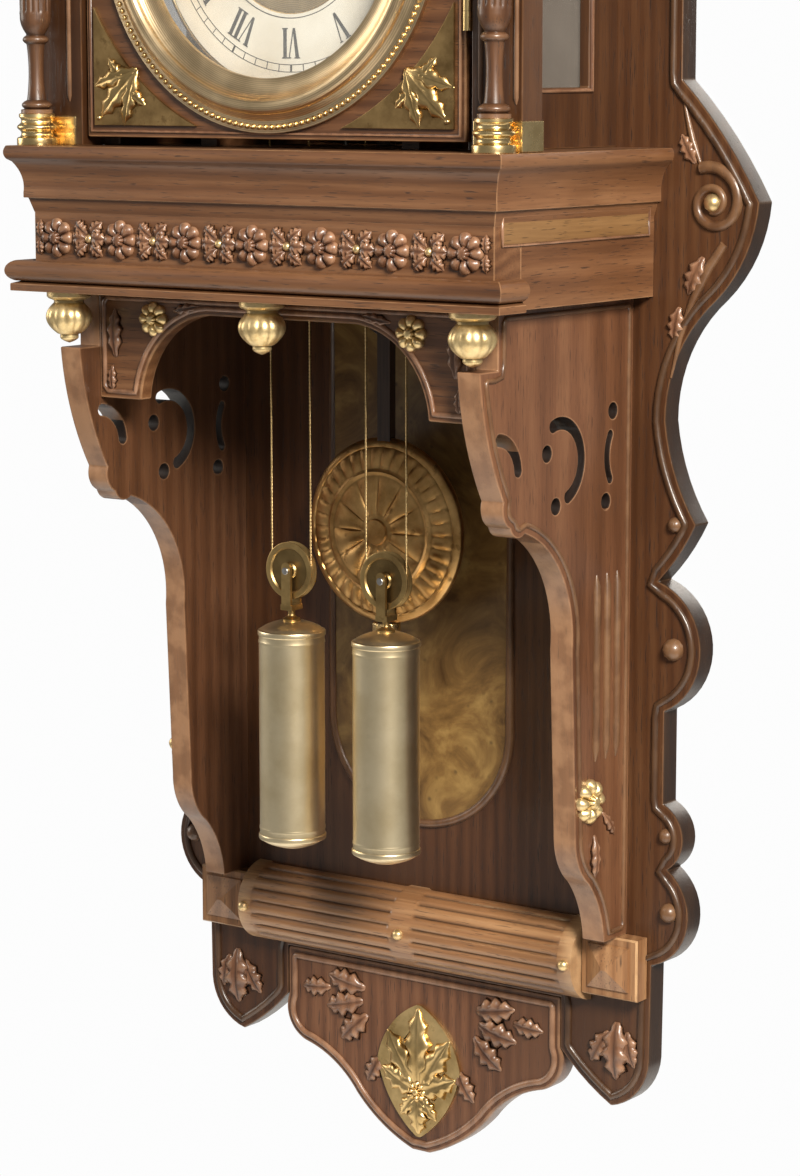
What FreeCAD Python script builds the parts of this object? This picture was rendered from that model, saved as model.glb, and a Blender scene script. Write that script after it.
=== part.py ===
import FreeCAD, Part
import math
import os

import Sketcher
from FreeCAD import Placement, Rotation, Vector

# Wall regulator clock. Millimetres, Z up, the wall is the plane y = 0 and the dial faces -Y.
# The origin is the hole of the wall hanger in the back of the case.

doc = FreeCAD.newDocument("WallRegulator")
sheet = doc.addObject("Spreadsheet::Sheet", "Sizes")

SIZES = [
    # case back and the boards it carries
    ("board_thick", 18), ("shelf_drop", 320), ("board_half", 213), ("board_over", 100),
    ("board_foot", 600), ("ear_half", 273), ("lobe_half", 231), ("waist_half", 205),
    ("corner_half", 196), ("corner_drop", 672), ("corner_tip", 165), ("notch_half", 122),
    ("notch_drop", 637), ("hanger_wide", 70), ("hanger_tall", 44), ("hanger_thick", 3),
    ("hanger_hole", 5), ("hanger_well", 13),
    # open base under the hood
    ("base_wide", 385), ("base_deep", 192), ("base_tall", 100), ("base_wall", 30),
    ("floor_thick", 18), ("shelf_over", 15), ("shelf_tall", 46), ("lower_over", 14),
    ("lower_tall", 20), ("lower_return", 18), ("bracket_half", 177), ("bracket_thick", 18),
    ("bracket_inset", 28), ("ledge_drop", 139), ("ledge_deep", 185), ("cusp_drop", 243),
    ("cusp_deep", 149), ("trunk_deep", 68), ("bracket_foot", 545), ("arch_thick", 12),
    ("arch_drop", 175), ("arch_top", 114), ("arch_flat", 62), ("arch_half", 122),
    ("pendant_radius", 17), ("pendant_tall", 36), ("pendant_side", 170), ("pendant_inset", 9),
    ("rosette_radius", 15), ("rosette_drop", 441), ("rosette_back", 52),
    # bolster and apron at the foot
    ("bolster_half", 148), ("bolster_tall", 60), ("bolster_deep", 28), ("block_wide", 46),
    ("block_tall", 44), ("block_deep", 22), ("apron_tall", 138), ("leaf_half", 37),
    ("leaf_tall", 100), ("leaf_thick", 8), ("leaf_gap", 26),
    # hood and its windows
    ("hood_wide", 324), ("hood_deep", 154), ("hood_tall", 300), ("hood_wall", 16),
    ("window_wide", 84), ("window_tall", 220), ("window_sill", 40), ("rebate_wide", 6),
    ("rebate_deep", 8), ("glass_thick", 3), ("pane_gap", 0.5), ("column_inset", 2),
    ("column_radius", 11), ("column_foot_tall", 22), ("column_foot_radius", 14),
    ("roof_over", 15), ("roof_thick", 18), ("cornice_tall", 46), ("cornice_over", 28),
    ("crest_half", 150), ("crest_tall", 172), ("crest_thick", 20), ("crest_inset", 32),
    ("finial_radius", 15), ("finial_tall", 96), ("finial_inset", 24),
    # glazed door
    ("door_half", 158), ("door_gap", 6), ("door_thick", 20), ("opening_radius", 122),
    ("bezel_radius", 140), ("bezel_proud", 12), ("sight_radius", 104), ("fit_gap", 0.3),
    ("glass_radius", 113), ("corner_inset", 8), ("corner_gap", 12), ("mount_thick", 2.5),
    ("knob_radius", 8), ("knob_proud", 20), ("knob_inset", 12), ("knuckle_radius", 3),
    ("knuckle_long", 12), ("hinge_leaf", 1.5), ("hinge_inset", 70), ("hinge_reach", 42),
    ("hinge_proud", 2.5), ("run_gap", 0.1), ("end_gap", 0.4),
    # dial, plates and the seat they stand on
    ("dial_rise", 150), ("dial_radius", 116), ("dial_out", 166), ("dial_thick", 2),
    ("dial_hole", 6), ("ring_inner", 62), ("ring_outer", 112), ("ring_thick", 1.5),
    ("plate_margin", 14), ("plate_below", 76), ("plate_above", 84), ("plate_thick", 3),
    ("plate_front", 145), ("plate_back", 92), ("pillar_radius", 4), ("pillar_inset", 8),
    ("arbor_radius", 1.5), ("pivot_gap", 0.08), ("seat_thick", 14), ("seat_front", 150),
    ("seat_rear", 80), ("cheek_over", 20), ("slot_gap", 8),
    # wheels: how far each lies behind the front of the front plate
    ("great_depth", 13), ("centre_depth", 6), ("third_depth", 19), ("escape_depth", 28),
    ("strike_depth", 40), ("pin_depth", 32), ("lock_depth", 23), ("great_thick", 3),
    ("wheel_thick", 2), ("pinion_lead", 2), ("escape_radius", 18), ("pallet_gap", 1.7),
    # hands and motion work, in front of the front plate or of the chapter ring
    ("motion_out", 5), ("hour_wheel_out", 10), ("hour_hand_out", 5), ("minute_hand_out", 8.5),
    ("hand_thick", 1.2), ("minute_long", 98), ("hour_long", 66),
    # barrels, lines and weights
    ("barrel_side", 36), ("barrel_drop", 11.5), ("drum_radius", 12), ("drum_half", 10),
    ("flange_over", 2), ("flange_thick", 1.5), ("line_radius", 0.8), ("line_out", 117),
    ("winder_radius", 3), ("winder_hole", 6), ("post_radius", 2), ("weight_radius", 24),
    ("weight_tall", 162), ("weight_top", 331), ("pulley_radius", 17), ("pulley_rim", 20),
    ("pulley_thick", 7), ("pulley_rise", 36), ("stirrup_thick", 2), ("stirrup_wide", 8),
    ("stirrup_gap", 1),
    # pendulum, anchor, gong and hammer
    ("pivot_rise", 69), ("pin_radius", 2), ("cock_wide", 16), ("chop_drop", 46),
    ("bob_drop", 270), ("bob_radius", 66), ("bob_thick", 28), ("bob_edge", 3), ("rod_wide", 11),
    ("rod_thick", 7), ("rod_out", 60), ("thread_radius", 2.5), ("nut_radius", 10),
    ("nut_tall", 9), ("gong_drop", 86), ("gong_outer", 56), ("gong_inner", 13), ("gong_wire", 4),
    ("gong_out", 32), ("hammer_side", 40), ("hammer_drop", 62), ("hammer_head", 9),
    ("hammer_long", 16), ("hammer_gap", 0.8),
]
for row, (alias, value) in enumerate(SIZES, 1):
    sheet.set(f"A{row}", alias.replace("_", " "))
    sheet.set(f"B{row}", str(value))
    sheet.setAlias(f"B{row}", alias)
doc.recompute()


class Size:
    """A length that carries its value and the spreadsheet expression behind it."""

    def __init__(self, value, text):
        self.value = value
        self.text = text

    def join(self, other, sign, swapped=False):
        if not isinstance(other, Size):
            other = Size(float(other), repr(float(other)))
        left, right = (other, self) if swapped else (self, other)
        if sign == "+":
            value = left.value + right.value
        elif sign == "-":
            value = left.value - right.value
        elif sign == "*":
            value = left.value * right.value
        else:
            value = left.value / right.value
        return Size(value, f"({left.text} {sign} {right.text})")

    def __add__(self, other):
        return self.join(other, "+")

    def __radd__(self, other):
        return self.join(other, "+", True)

    def __sub__(self, other):
        return self.join(other, "-")

    def __rsub__(self, other):
        return self.join(other, "-", True)

    def __mul__(self, other):
        return self.join(other, "*")

    def __rmul__(self, other):
        return self.join(other, "*", True)

    def __truediv__(self, other):
        return self.join(other, "/")

    def __neg__(self):
        return self.join(0, "-", True)

    def root(self):
        return Size(math.sqrt(self.value), f"sqrt({self.text})")


class Sizes:
    """The sheet's cells by name."""

    def __getattr__(self, alias):
        return Size(float(sheet.get(alias)), "Sizes." + alias)


S = Sizes()
nodes = []


def num(length):
    return length.value if isinstance(length, Size) else float(length)


def bind(item, prop, length):
    """Set a property from a size, as an expression when it comes from the sheet."""
    if isinstance(length, Size):
        item.setExpression(prop, length.text)
    else:
        setattr(item, prop, length)


def place(item, x=0, y=0, z=0):
    """Set the base of a placement from sizes."""
    base = Vector(num(x), num(y), num(z))
    item.Placement = Placement(base, item.Placement.Rotation)
    for axis, length in (("x", x), ("y", y), ("z", z)):
        if isinstance(length, Size):
            item.setExpression("Placement.Base." + axis, length.text)
    return item


def node(item, label):
    """Name a document object as a node that is written out."""
    item.Label = label
    nodes.append(item)
    return item


# Sketches: an outline is a list of points, and a point may carry a third item, the point that
# the arc ending there passes through.

def hold(sketch, geometry, end, point):
    for kind, length in (("DistanceX", point[0]), ("DistanceY", point[1])):
        constraint = Sketcher.Constraint(kind, -1, 1, geometry, end, num(length))
        index = sketch.addConstraint(constraint)
        if isinstance(length, Size):
            sketch.setExpression(f"Constraints[{index}]", length.text)


def vector(point):
    return Vector(num(point[0]), num(point[1]), 0)


def draw(sketch, outline):
    ends = []
    for index, start in enumerate(outline):
        stop = outline[(index + 1) % len(outline)]
        if len(stop) < 3:
            edge = sketch.addGeometry(Part.LineSegment(vector(start), vector(stop)), False)
            ends.append((edge, 1, 2))
            continue
        first, middle, last = vector(start), vector(stop[2]), vector(stop)
        forward = (middle - first).cross(last - first).z > 0
        arc = Part.Arc(first, middle, last) if forward else Part.Arc(last, middle, first)
        edge = sketch.addGeometry(arc, False)
        ends.append((edge, 1, 2) if forward else (edge, 2, 1))
        mark = sketch.addGeometry(Part.Point(middle), True)
        hold(sketch, mark, 1, stop[2])
        sketch.addConstraint(Sketcher.Constraint("PointOnObject", mark, 1, edge))
    for index, (edge, first, last) in enumerate(ends):
        following = ends[(index + 1) % len(ends)]
        sketch.addConstraint(Sketcher.Constraint("Coincident", edge, last, following[0], following[1]))
        hold(sketch, edge, first, outline[index])


def draw_circle(sketch, circle):
    x, z, radius = circle
    edge = sketch.addGeometry(Part.Circle(Vector(num(x), num(z), 0), Vector(0, 0, 1), num(radius)), False)
    hold(sketch, edge, 3, (x, z))
    index = sketch.addConstraint(Sketcher.Constraint("Radius", edge, num(radius)))
    if isinstance(radius, Size):
        sketch.setExpression(f"Constraints[{index}]", radius.text)


def new_sketch(body, role, loops):
    sketch = body.newObject("Sketcher::SketchObject", body.Name + "Sketch")
    plane = next(item for item in body.Origin.OriginFeatures if item.Role == role)
    sketch.AttachmentSupport = [(plane, "")]
    sketch.MapMode = "FlatFace"
    for loop in loops:
        if isinstance(loop, tuple):
            draw_circle(sketch, loop)
        else:
            draw(sketch, loop)
    return sketch


def padded_body(name, role, loops, thick):
    body = doc.addObject("PartDesign::Body", name)
    sketch = new_sketch(body, role, loops)
    pad = body.newObject("PartDesign::Pad", name + "Pad")
    pad.Profile = sketch
    bind(pad, "Length", thick)
    sketch.Visibility = False
    return body


def sunk(body, role, loops, deep, reverse):
    """Sink outlines into a body from one of its own origin planes."""
    sketch = new_sketch(body, role, loops)
    pocket = body.newObject("PartDesign::Pocket", body.Name + "Pocket")
    pocket.Profile = sketch
    pocket.Reversed = reverse
    bind(pocket, "Length", deep)
    sketch.Visibility = False
    return body


def board(name, loops, thick, back):
    """A board facing -Y, its back at y = back, cut out of the outlines in X and Z."""
    return place(padded_body(name, "XZ_Plane", loops, thick), y=back)


def panel(name, loops, thick, side):
    """A board facing X, from x = side outwards, cut out of the outlines in Y and Z."""
    return place(padded_body(name, "YZ_Plane", loops, thick), x=side)


def turned(name, role, axis, profile, angle=360):
    """A body turned about its own origin axis from a profile of radius and length."""
    body = doc.addObject("PartDesign::Body", name)
    sketch = new_sketch(body, role, [profile])
    lathe = body.newObject("PartDesign::Revolution", name + "Turning")
    lathe.Profile = sketch
    lathe.ReferenceAxis = (sketch, [axis])
    lathe.Angle = angle
    lathe.Reversed = angle < 360
    sketch.Visibility = False
    return body


def dome(first, last, radial=0):
    """The last point with an arc to it that is centred on the turning axis."""
    r1, a1 = first[radial], first[1 - radial]
    r2, a2 = last[radial], last[1 - radial]
    middle = (r2 * r2 - r1 * r1 + a2 * a2 - a1 * a1) / (2 * (a2 - a1))
    halfway = (a1 + a2) / 2
    square = r1 * r1 + (a1 - middle) * (a1 - middle) - (halfway - middle) * (halfway - middle)
    reach = square.root()
    return tuple(last[:2]) + ((reach, halfway) if radial == 0 else (halfway, reach),)


def turned_upright(name, profile, x, y, z):
    return place(turned(name, "XZ_Plane", "V_Axis", profile), x, y, z)


def turned_facing(name, profile, x, y, z):
    """Turned about Y: the profile's points are (along Y, radius)."""
    return place(turned(name, "YZ_Plane", "H_Axis", profile), x, y, z)


def turned_sideways(name, profile, x, y, z):
    """Turned about X: the profile's points are (along X, radius)."""
    return place(turned(name, "XY_Plane", "H_Axis", profile), x, y, z)


def box(name, x, y, z, length, width, height):
    item = doc.addObject("Part::Box", name)
    bind(item, "Length", length)
    bind(item, "Width", width)
    bind(item, "Height", height)
    return place(item, x, y, z)


TURNS = {
    "X": Rotation(Vector(0, 1, 0), 90),
    "Y": Rotation(Vector(1, 0, 0), -90),
    "Z": Rotation(),
}


def rod(name, axis, x, y, z, radius, length):
    """A round bar that starts at a point and runs along an axis."""
    item = doc.addObject("Part::Cylinder", name)
    bind(item, "Radius", radius)
    bind(item, "Height", length)
    item.Placement = Placement(Vector(), TURNS[axis])
    return place(item, x, y, z)


def fused(name, items):
    item = doc.addObject("Part::MultiFuse", name)
    item.Shapes = items
    return item


def cut(name, base, tools):
    item = doc.addObject("Part::Cut", name)
    item.Base = base
    item.Tool = tools[0] if len(tools) == 1 else fused(name + "Tools", tools)
    return item


def mirrored(name, source, normal=(1, 0, 0)):
    item = doc.addObject("Part::Mirroring", name)
    item.Source = source
    item.Normal = Vector(*normal)
    return item


def grouped(name, items):
    item = doc.addObject("Part::Compound", name)
    item.Links = items
    return item


def solid_feature(name, shape):
    item = doc.addObject("Part::Feature", name)
    item.Shape = shape
    return item


# Levels and depths shared by the pieces
shelf = -S.shelf_drop
board_front = -S.board_thick
base_front = board_front - S.base_deep
base_foot = shelf - S.base_tall
base_half = S.base_wide / 2
hood_front = board_front - S.hood_deep
hood_top = shelf + S.hood_tall
hood_half = S.hood_wide / 2
roof_half = base_half + S.roof_over
roof_front = base_front - S.roof_over
dial_level = shelf + S.dial_rise
pivot_level = dial_level + S.pivot_rise


def below(drop):
    return shelf - drop


# Backboard: scrolled outline with ears beside the base, lobes down the trunk and corner drops
def backboard_side():
    half, waist, lobe, corner = S.board_half, S.waist_half, S.lobe_half, S.corner_half
    ear = S.ear_half - half
    head, foot = hood_top + S.board_over, below(S.corner_drop)
    return [
        (half * 0.55, head),
        (half, head - 70, (half * 0.88, head - 20)),
        (half, shelf + 45),
        (S.ear_half, below(35), (half + ear * 0.58, shelf + 5)),
        (half + ear * 0.47, below(101), (half + ear * 0.9, below(62))),
        (waist - 2, below(184), (half + ear * 0.05, below(132))),
        (lobe - 3, below(253), (waist + 7, below(222))),
        (waist - 6, below(294), (lobe - 14, below(272))),
        (waist, below(384), (lobe + 2, below(342))),
        (waist, below(449)),
        (waist + 4, below(495), (lobe - 10, below(472))),
        (corner + 1, below(565), (lobe - 5, below(526))),
        (corner, foot + 37),
        (S.corner_tip, foot, (corner - 8, foot + 15)),
        (S.notch_half, below(S.notch_drop), (S.corner_tip - 22, foot + 15)),
        (S.notch_half, below(S.board_foot)),
    ]


def mirror_points(points):
    """The same run of points on the other side of x = 0, taken backwards."""
    back = []
    for index in range(len(points) - 1, -1, -1):
        x, z = points[index][0], points[index][1]
        via = points[index + 1][2] if index + 1 < len(points) and len(points[index + 1]) > 2 else None
        back.append((-x, z) if via is None else (-x, z, (-via[0], via[1])))
    return back


def symmetric(points):
    return points + mirror_points(points)


back_body = board("Backboard", [symmetric(backboard_side())], S.board_thick, 0)
recess_half = S.hanger_wide / 2 + S.fit_gap
recess_rise = S.hanger_tall / 2 + S.fit_gap
recess = [(-recess_half, -recess_rise), (recess_half, -recess_rise), (recess_half, recess_rise),
          (-recess_half, recess_rise)]
sunk(back_body, "XZ_Plane", [recess], S.hanger_thick, True)
sunk(back_body, "XZ_Plane", [(0, 0, S.hanger_hole * 2)], S.hanger_well, True)
node(back_body, "backboard")

hanger_x, hanger_z = S.hanger_wide / 2, S.hanger_tall / 2
hanger_edge = [(-hanger_x, -hanger_z), (hanger_x, -hanger_z), (hanger_x, hanger_z), (-hanger_x, hanger_z)]
node(board("HangerPlate", [hanger_edge, (0, 0, S.hanger_hole)], S.hanger_thick, 0), "hanger_plate")

# Side brackets: a ledge under the base, a raked front, a cusp, a cove, a shallow trunk, frets
cusp_y, cusp_z = board_front - S.cusp_deep, below(S.cusp_drop)
trunk_y, trunk_foot = board_front - S.trunk_deep, below(S.bracket_foot)
bracket_top_y = base_front + S.bracket_inset
ledge_y, ledge = board_front - S.ledge_deep, below(S.ledge_drop)
bracket_edge = [
    (board_front, base_foot),
    (bracket_top_y, base_foot),
    (bracket_top_y, ledge),
    (ledge_y, ledge),
    (cusp_y - 8, cusp_z + 18, (ledge_y + 9, (ledge + cusp_z) / 2 + 8)),
    (cusp_y, cusp_z, (cusp_y - 7, cusp_z + 6)),
    (cusp_y + 17, cusp_z - 5, (cusp_y + 8, cusp_z - 7)),
    (trunk_y - 6, cusp_z - 92, (trunk_y - 26, cusp_z - 29)),
    (trunk_y, trunk_foot + 82),
    (trunk_y + 18, trunk_foot + 45, (trunk_y + 5, trunk_foot + 60)),
    (trunk_y + 38, trunk_foot, (trunk_y + 32, trunk_foot + 24)),
    (board_front, trunk_foot),
]


def curved_slot(y, z, radius, half, first, last):
    """A round-ended slot along an arc about a point, between two angles from +Y towards +Z."""
    def at(angle, reach):
        turn = math.radians(angle)
        return (y + reach * math.cos(turn), z + reach * math.sin(turn))

    def past(angle, way):
        turn = math.radians(angle)
        x, rise = at(angle, radius)
        return (x - way * half * math.sin(turn), rise + way * half * math.cos(turn))

    middle = (first + last) / 2
    inner, outer = radius - half, radius + half
    return [at(first, inner) + (at(middle, inner),), at(first, outer) + (past(first, -1),),
            at(last, outer) + (at(middle, outer),), at(last, inner) + (past(last, 1),)]


def fret_loops():
    """Scrolls and round holes sawn through the bracket beside its cusp."""
    hole = 5.5
    holes = [(cusp_y + 43, cusp_z + 45, hole), (cusp_y + 54, cusp_z + 9, hole),
             (board_front - 25, cusp_z + 67, hole), (board_front - 33, cusp_z + 6, hole)]
    scrolls = [curved_slot(cusp_y - 15, cusp_z + 35, 24, 4, 5, 85),
               curved_slot(cusp_y + 59, cusp_z + 38, 26, 4, -68, 110),
               curved_slot(board_front - 2, cusp_z + 36, 30, 3, 150, 210)]
    return holes + scrolls


right_bracket = panel("BracketRight", [bracket_edge] + fret_loops(), S.bracket_thick,
                      S.bracket_half - S.bracket_thick)
node(right_bracket, "right_side_bracket")
node(mirrored("BracketLeft", right_bracket), "left_side_bracket")

rosette_r = S.rosette_radius
rosette = turned_sideways("RosetteRight", [
    (0, 0), (0, rosette_r), (3, rosette_r), (4.5, rosette_r * 0.75), (3, rosette_r * 0.6),
    dome((3, rosette_r * 0.6), (9, 0), 1)],
    S.bracket_half, board_front - S.rosette_back, below(S.rosette_drop))

# Foot: half-round bolster between square blocks, apron below it and the brass leaf on the apron
bolster_level = trunk_foot - S.block_tall / 2
bolster = panel("Bolster", [[
    (board_front, bolster_level - S.bolster_tall / 2),
    (board_front, bolster_level + S.bolster_tall / 2, (board_front - S.bolster_deep, bolster_level)),
]], S.bolster_half * 2, -S.bolster_half)
node(bolster, "bolster")

block = box("BlockRight", S.bolster_half, board_front - S.block_deep, trunk_foot - S.block_tall,
            S.block_wide, S.block_deep, S.block_tall)
node(grouped("Blocks", [block, mirrored("BlockLeft", block)]), "foot_blocks")

apron_top, apron_w, apron_h = below(S.board_foot), S.notch_half, S.apron_tall
apron_side = [
    (apron_w, apron_top),
    (apron_w, below(S.notch_drop)),
    (apron_w * 0.87, apron_top - apron_h * 0.52, (apron_w * 0.99, apron_top - apron_h * 0.43)),
    (apron_w * 0.48, apron_top - apron_h * 0.75, (apron_w * 0.66, apron_top - apron_h * 0.6)),
    (apron_w * 0.06, apron_top - apron_h, (apron_w * 0.25, apron_top - apron_h * 0.92)),
]
node(board("Apron", [symmetric(apron_side)], S.board_thick, 0), "bottom_apron")

leaf_top, leaf_w, leaf_h = apron_top - S.leaf_gap, S.leaf_half, S.leaf_tall
leaf_side = [
    (leaf_w * 0.05, leaf_top),
    (leaf_w, leaf_top - leaf_h * 0.45, (leaf_w * 0.62, leaf_top - leaf_h * 0.16)),
    (leaf_w * 0.05, leaf_top - leaf_h, (leaf_w * 0.64, leaf_top - leaf_h * 0.78)),
]
node(board("ApronMount", [symmetric(leaf_side)], S.leaf_thick, board_front), "apron_mount")

# Base: floor with slots for the lines and the pendulum, open frieze box, mouldings and valance
inner_line = S.barrel_side - S.drum_radius
weight_side = inner_line + S.pulley_radius
outer_line = weight_side + S.pulley_radius
floor_foot, floor_cut = shelf - S.floor_thick - 1, S.floor_thick + 2
floor = box("FloorBoard", -(base_half - S.base_wall), base_front + S.base_wall, shelf - S.floor_thick,
            S.base_wide - S.base_wall * 2, S.base_deep - S.base_wall, S.floor_thick)
line_slot = box("LineSlot", inner_line - S.slot_gap, -S.line_out - S.slot_gap, floor_foot,
                (S.pulley_radius + S.slot_gap) * 2, S.slot_gap * 2, floor_cut)
rod_slot = box("RodSlot", -S.hammer_side - 54, -S.rod_out - 13, floor_foot,
               S.hammer_side + 84, S.rod_out - S.board_thick + 7, floor_cut)
node(cut("HoodFloor", floor, [line_slot, mirrored("LineSlotLeft", line_slot), rod_slot]), "hood_floor")

frieze_front = box("FriezeFront", -base_half, base_front, base_foot, S.base_wide, S.base_wall, S.base_tall)
frieze_side = box("FriezeSide", base_half - S.base_wall, base_front + S.base_wall, base_foot,
                  S.base_wall, S.base_deep - S.base_wall, S.base_tall)
node(grouped("Frieze", [frieze_front, frieze_side, mirrored("FriezeSideLeft", frieze_side)]), "frieze_boards")


def moulding(name, profile, half, front, back):
    """A moulding mitred round three sides: profile points are (outwards, height)."""
    half, front, back = num(half), num(front), num(back)
    path = Part.makePolygon([Vector(half, back, 0), Vector(half, front, 0), Vector(-half, front, 0),
                             Vector(-half, back, 0)])
    edges = []
    for index, start in enumerate(profile):
        stop = profile[(index + 1) % len(profile)]
        first = Vector(half + num(start[0]), back, num(start[1]))
        last = Vector(half + num(stop[0]), back, num(stop[1]))
        if len(stop) < 3:
            edges.append(Part.makeLine(first, last))
        else:
            middle = Vector(half + num(stop[2][0]), back, num(stop[2][1]))
            edges.append(Part.Arc(first, middle, last).toShape())
    return solid_feature(name, Part.Wire(path).makePipeShell([Part.Wire(edges)], True, False, 1))


over, tall = S.shelf_over, S.shelf_tall
shelf_moulding = moulding("ShelfMoulding", [
    (0, shelf), (over * 0.9, shelf), (over * 0.9, shelf - tall * 0.2, (over, shelf - tall * 0.1)),
    (over * 0.72, shelf - tall * 0.24),
    (over * 0.36, shelf - tall * 0.7, (over * 0.44, shelf - tall * 0.42)),
    (over * 0.36, shelf - tall * 0.78), (over * 0.2, shelf - tall * 0.78),
    (0, shelf - tall)], base_half, base_front, board_front)
over, tall = S.lower_over, S.lower_tall
lower_moulding = moulding("LowerMoulding", [
    (0, base_foot + tall), (over * 0.3, base_foot + tall),
    (over * 0.45, base_foot + tall * 0.35, (over * 1.1, base_foot + tall * 0.7)),
    (over * 0.9, base_foot + tall * 0.25), (over * 0.9, base_foot), (0, base_foot)],
    base_half, base_front, base_front + S.lower_return)
node(grouped("BaseMouldings", [shelf_moulding, lower_moulding]), "base_mouldings")

arch_foot, arch_peak = below(S.arch_drop), below(S.arch_top)
valance_half = S.bracket_half - S.bracket_thick
arch_side = [
    (valance_half, base_foot),
    (valance_half, arch_foot),
    (S.arch_half, arch_foot),
    (S.arch_flat, arch_peak, (S.arch_half - 17, arch_peak - 21)),
]
arch_board = board("Arches", [symmetric(arch_side)], S.arch_thick, bracket_top_y + S.arch_thick)

pendant_r, pendant_h = S.pendant_radius, S.pendant_tall
pendant_profile = [
    (0, 0), (pendant_r * 0.9, 0), (pendant_r * 0.9, -pendant_h * 0.14), (pendant_r * 0.6, -pendant_h * 0.2),
    dome((pendant_r * 0.6, -pendant_h * 0.2), (pendant_r * 0.5, -pendant_h * 0.84)),
    dome((pendant_r * 0.5, -pendant_h * 0.84), (0, -pendant_h)),
]
pendants = [turned_upright(f"Pendant{index}", pendant_profile, S.pendant_side * index,
                           base_front + S.pendant_inset, base_foot)
            for index in (-1, 0, 1)]
node(grouped("ArchValance", [arch_board] + pendants), "arch_valance_with_pendants")

# Hood: glazed sides, corner columns with brass feet and caps, roof, cornice, crest and finials
window_mid = board_front - S.hood_deep / 2


def window(extra):
    near, far = window_mid + (S.window_wide / 2 + extra), window_mid - (S.window_wide / 2 + extra)
    sill, head = shelf + S.window_sill - extra, shelf + S.window_sill + S.window_tall + extra
    return [(near, sill), (near, head), (far, head), (far, sill)]


side_edge = [(board_front, shelf), (board_front, hood_top), (hood_front, hood_top), (hood_front, shelf)]
hood_side = panel("HoodSideRight", [side_edge, window(0)], S.hood_wall, hood_half - S.hood_wall)
sunk(hood_side, "YZ_Plane", [window(S.rebate_wide)], S.rebate_deep, True)
node(grouped("HoodSides", [hood_side, mirrored("HoodSideLeft", hood_side)]), "hood_sides")

pane_trim = (S.rebate_wide - S.pane_gap) * 2
pane = box("PaneRight", hood_half - S.hood_wall + S.rebate_deep - S.glass_thick,
           window_mid - (S.window_wide + pane_trim) / 2,
           shelf + S.window_sill - S.rebate_wide + S.pane_gap,
           S.glass_thick, S.window_wide + pane_trim, S.window_tall + pane_trim)
node(grouped("Panes", [pane, mirrored("PaneLeft", pane)]), "side_window_glass")

foot_r, foot_h = S.column_foot_radius, S.column_foot_tall
foot_profile = [
    (0, 0), (foot_r, 0), (foot_r, foot_h * 0.3), (foot_r * 0.8, foot_h * 0.4),
    (foot_r * 0.8, foot_h * 0.8, (foot_r, foot_h * 0.6)), (S.column_radius, foot_h), (0, foot_h)]
cap_profile = [(radius, S.hood_tall - level) + tuple((via[0], S.hood_tall - via[1]) for via in rest)
               for radius, level, *rest in foot_profile]
shaft = S.hood_tall - foot_h * 2
shaft_r = S.column_radius
column_profile = [
    (0, foot_h), (shaft_r, foot_h), (shaft_r, foot_h + shaft * 0.06), (shaft_r * 0.75, foot_h + shaft * 0.08),
    (shaft_r * 0.92, foot_h + shaft * 0.5, (shaft_r * 0.92, foot_h + shaft * 0.3)),
    (shaft_r * 0.7, foot_h + shaft * 0.9, (shaft_r * 0.85, foot_h + shaft * 0.7)),
    (shaft_r, foot_h + shaft * 0.93), (shaft_r, foot_h + shaft), (0, foot_h + shaft)]
column_x, column_y = base_half - S.column_inset, base_front + S.column_inset
column = turned_upright("ColumnRight", column_profile, column_x, column_y, shelf)
column_foot = turned_upright("ColumnFootRight", foot_profile, column_x, column_y, shelf)
column_cap = turned_upright("ColumnCapRight", cap_profile, column_x, column_y, shelf)
node(grouped("Columns", [column, mirrored("ColumnLeft", column)]), "corner_columns")
node(grouped("ColumnBrass", [column_foot, column_cap, mirrored("ColumnFootLeft", column_foot),
                             mirrored("ColumnCapLeft", column_cap)]), "column_brasses")

roof_top = hood_top + S.roof_thick
node(box("Roof", -roof_half, roof_front, hood_top, roof_half * 2, board_front - roof_front, S.roof_thick),
     "hood_roof")
over, tall = S.cornice_over, S.cornice_tall
node(moulding("Cornice", [
    (0, hood_top), (over * 0.2, hood_top), (over * 0.2, hood_top + tall * 0.14),
    (over * 0.36, hood_top + tall * 0.14),
    (over * 0.82, hood_top + tall * 0.72, (over * 0.46, hood_top + tall * 0.52)),
    (over, hood_top + tall * 0.76), (over, hood_top + tall), (0, hood_top + tall)],
    roof_half, roof_front, board_front), "cornice")

crest_w, crest_h = S.crest_half, S.crest_tall
crest_side = [
    (crest_w * 0.1, roof_top + crest_h),
    (crest_w * 0.3, roof_top + crest_h * 0.82, (crest_w * 0.24, roof_top + crest_h * 0.93)),
    (crest_w * 0.4, roof_top + crest_h * 0.6, (crest_w * 0.42, roof_top + crest_h * 0.72)),
    (crest_w * 0.72, roof_top + crest_h * 0.34, (crest_w * 0.5, roof_top + crest_h * 0.42)),
    (crest_w * 0.98, roof_top + crest_h * 0.26, (crest_w * 0.88, roof_top + crest_h * 0.42)),
    (crest_w, roof_top),
]
crest_front = roof_front + S.crest_inset
crest_back = crest_front + S.crest_thick
node(board("Crest", [symmetric(crest_side)], S.crest_thick, crest_back), "crest_board")
crest_boss = turned_facing("CrestBoss", [
    (0, 0), (0, crest_w * 0.2), (-4, crest_w * 0.2), (-7, crest_w * 0.16), (-4, crest_w * 0.12),
    dome((-4, crest_w * 0.12), (-13, 0), 1)], 0, crest_front, roof_top + crest_h * 0.6)
node(grouped("Rosettes", [rosette, mirrored("RosetteLeft", rosette), crest_boss]), "carved_rosettes")

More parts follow.
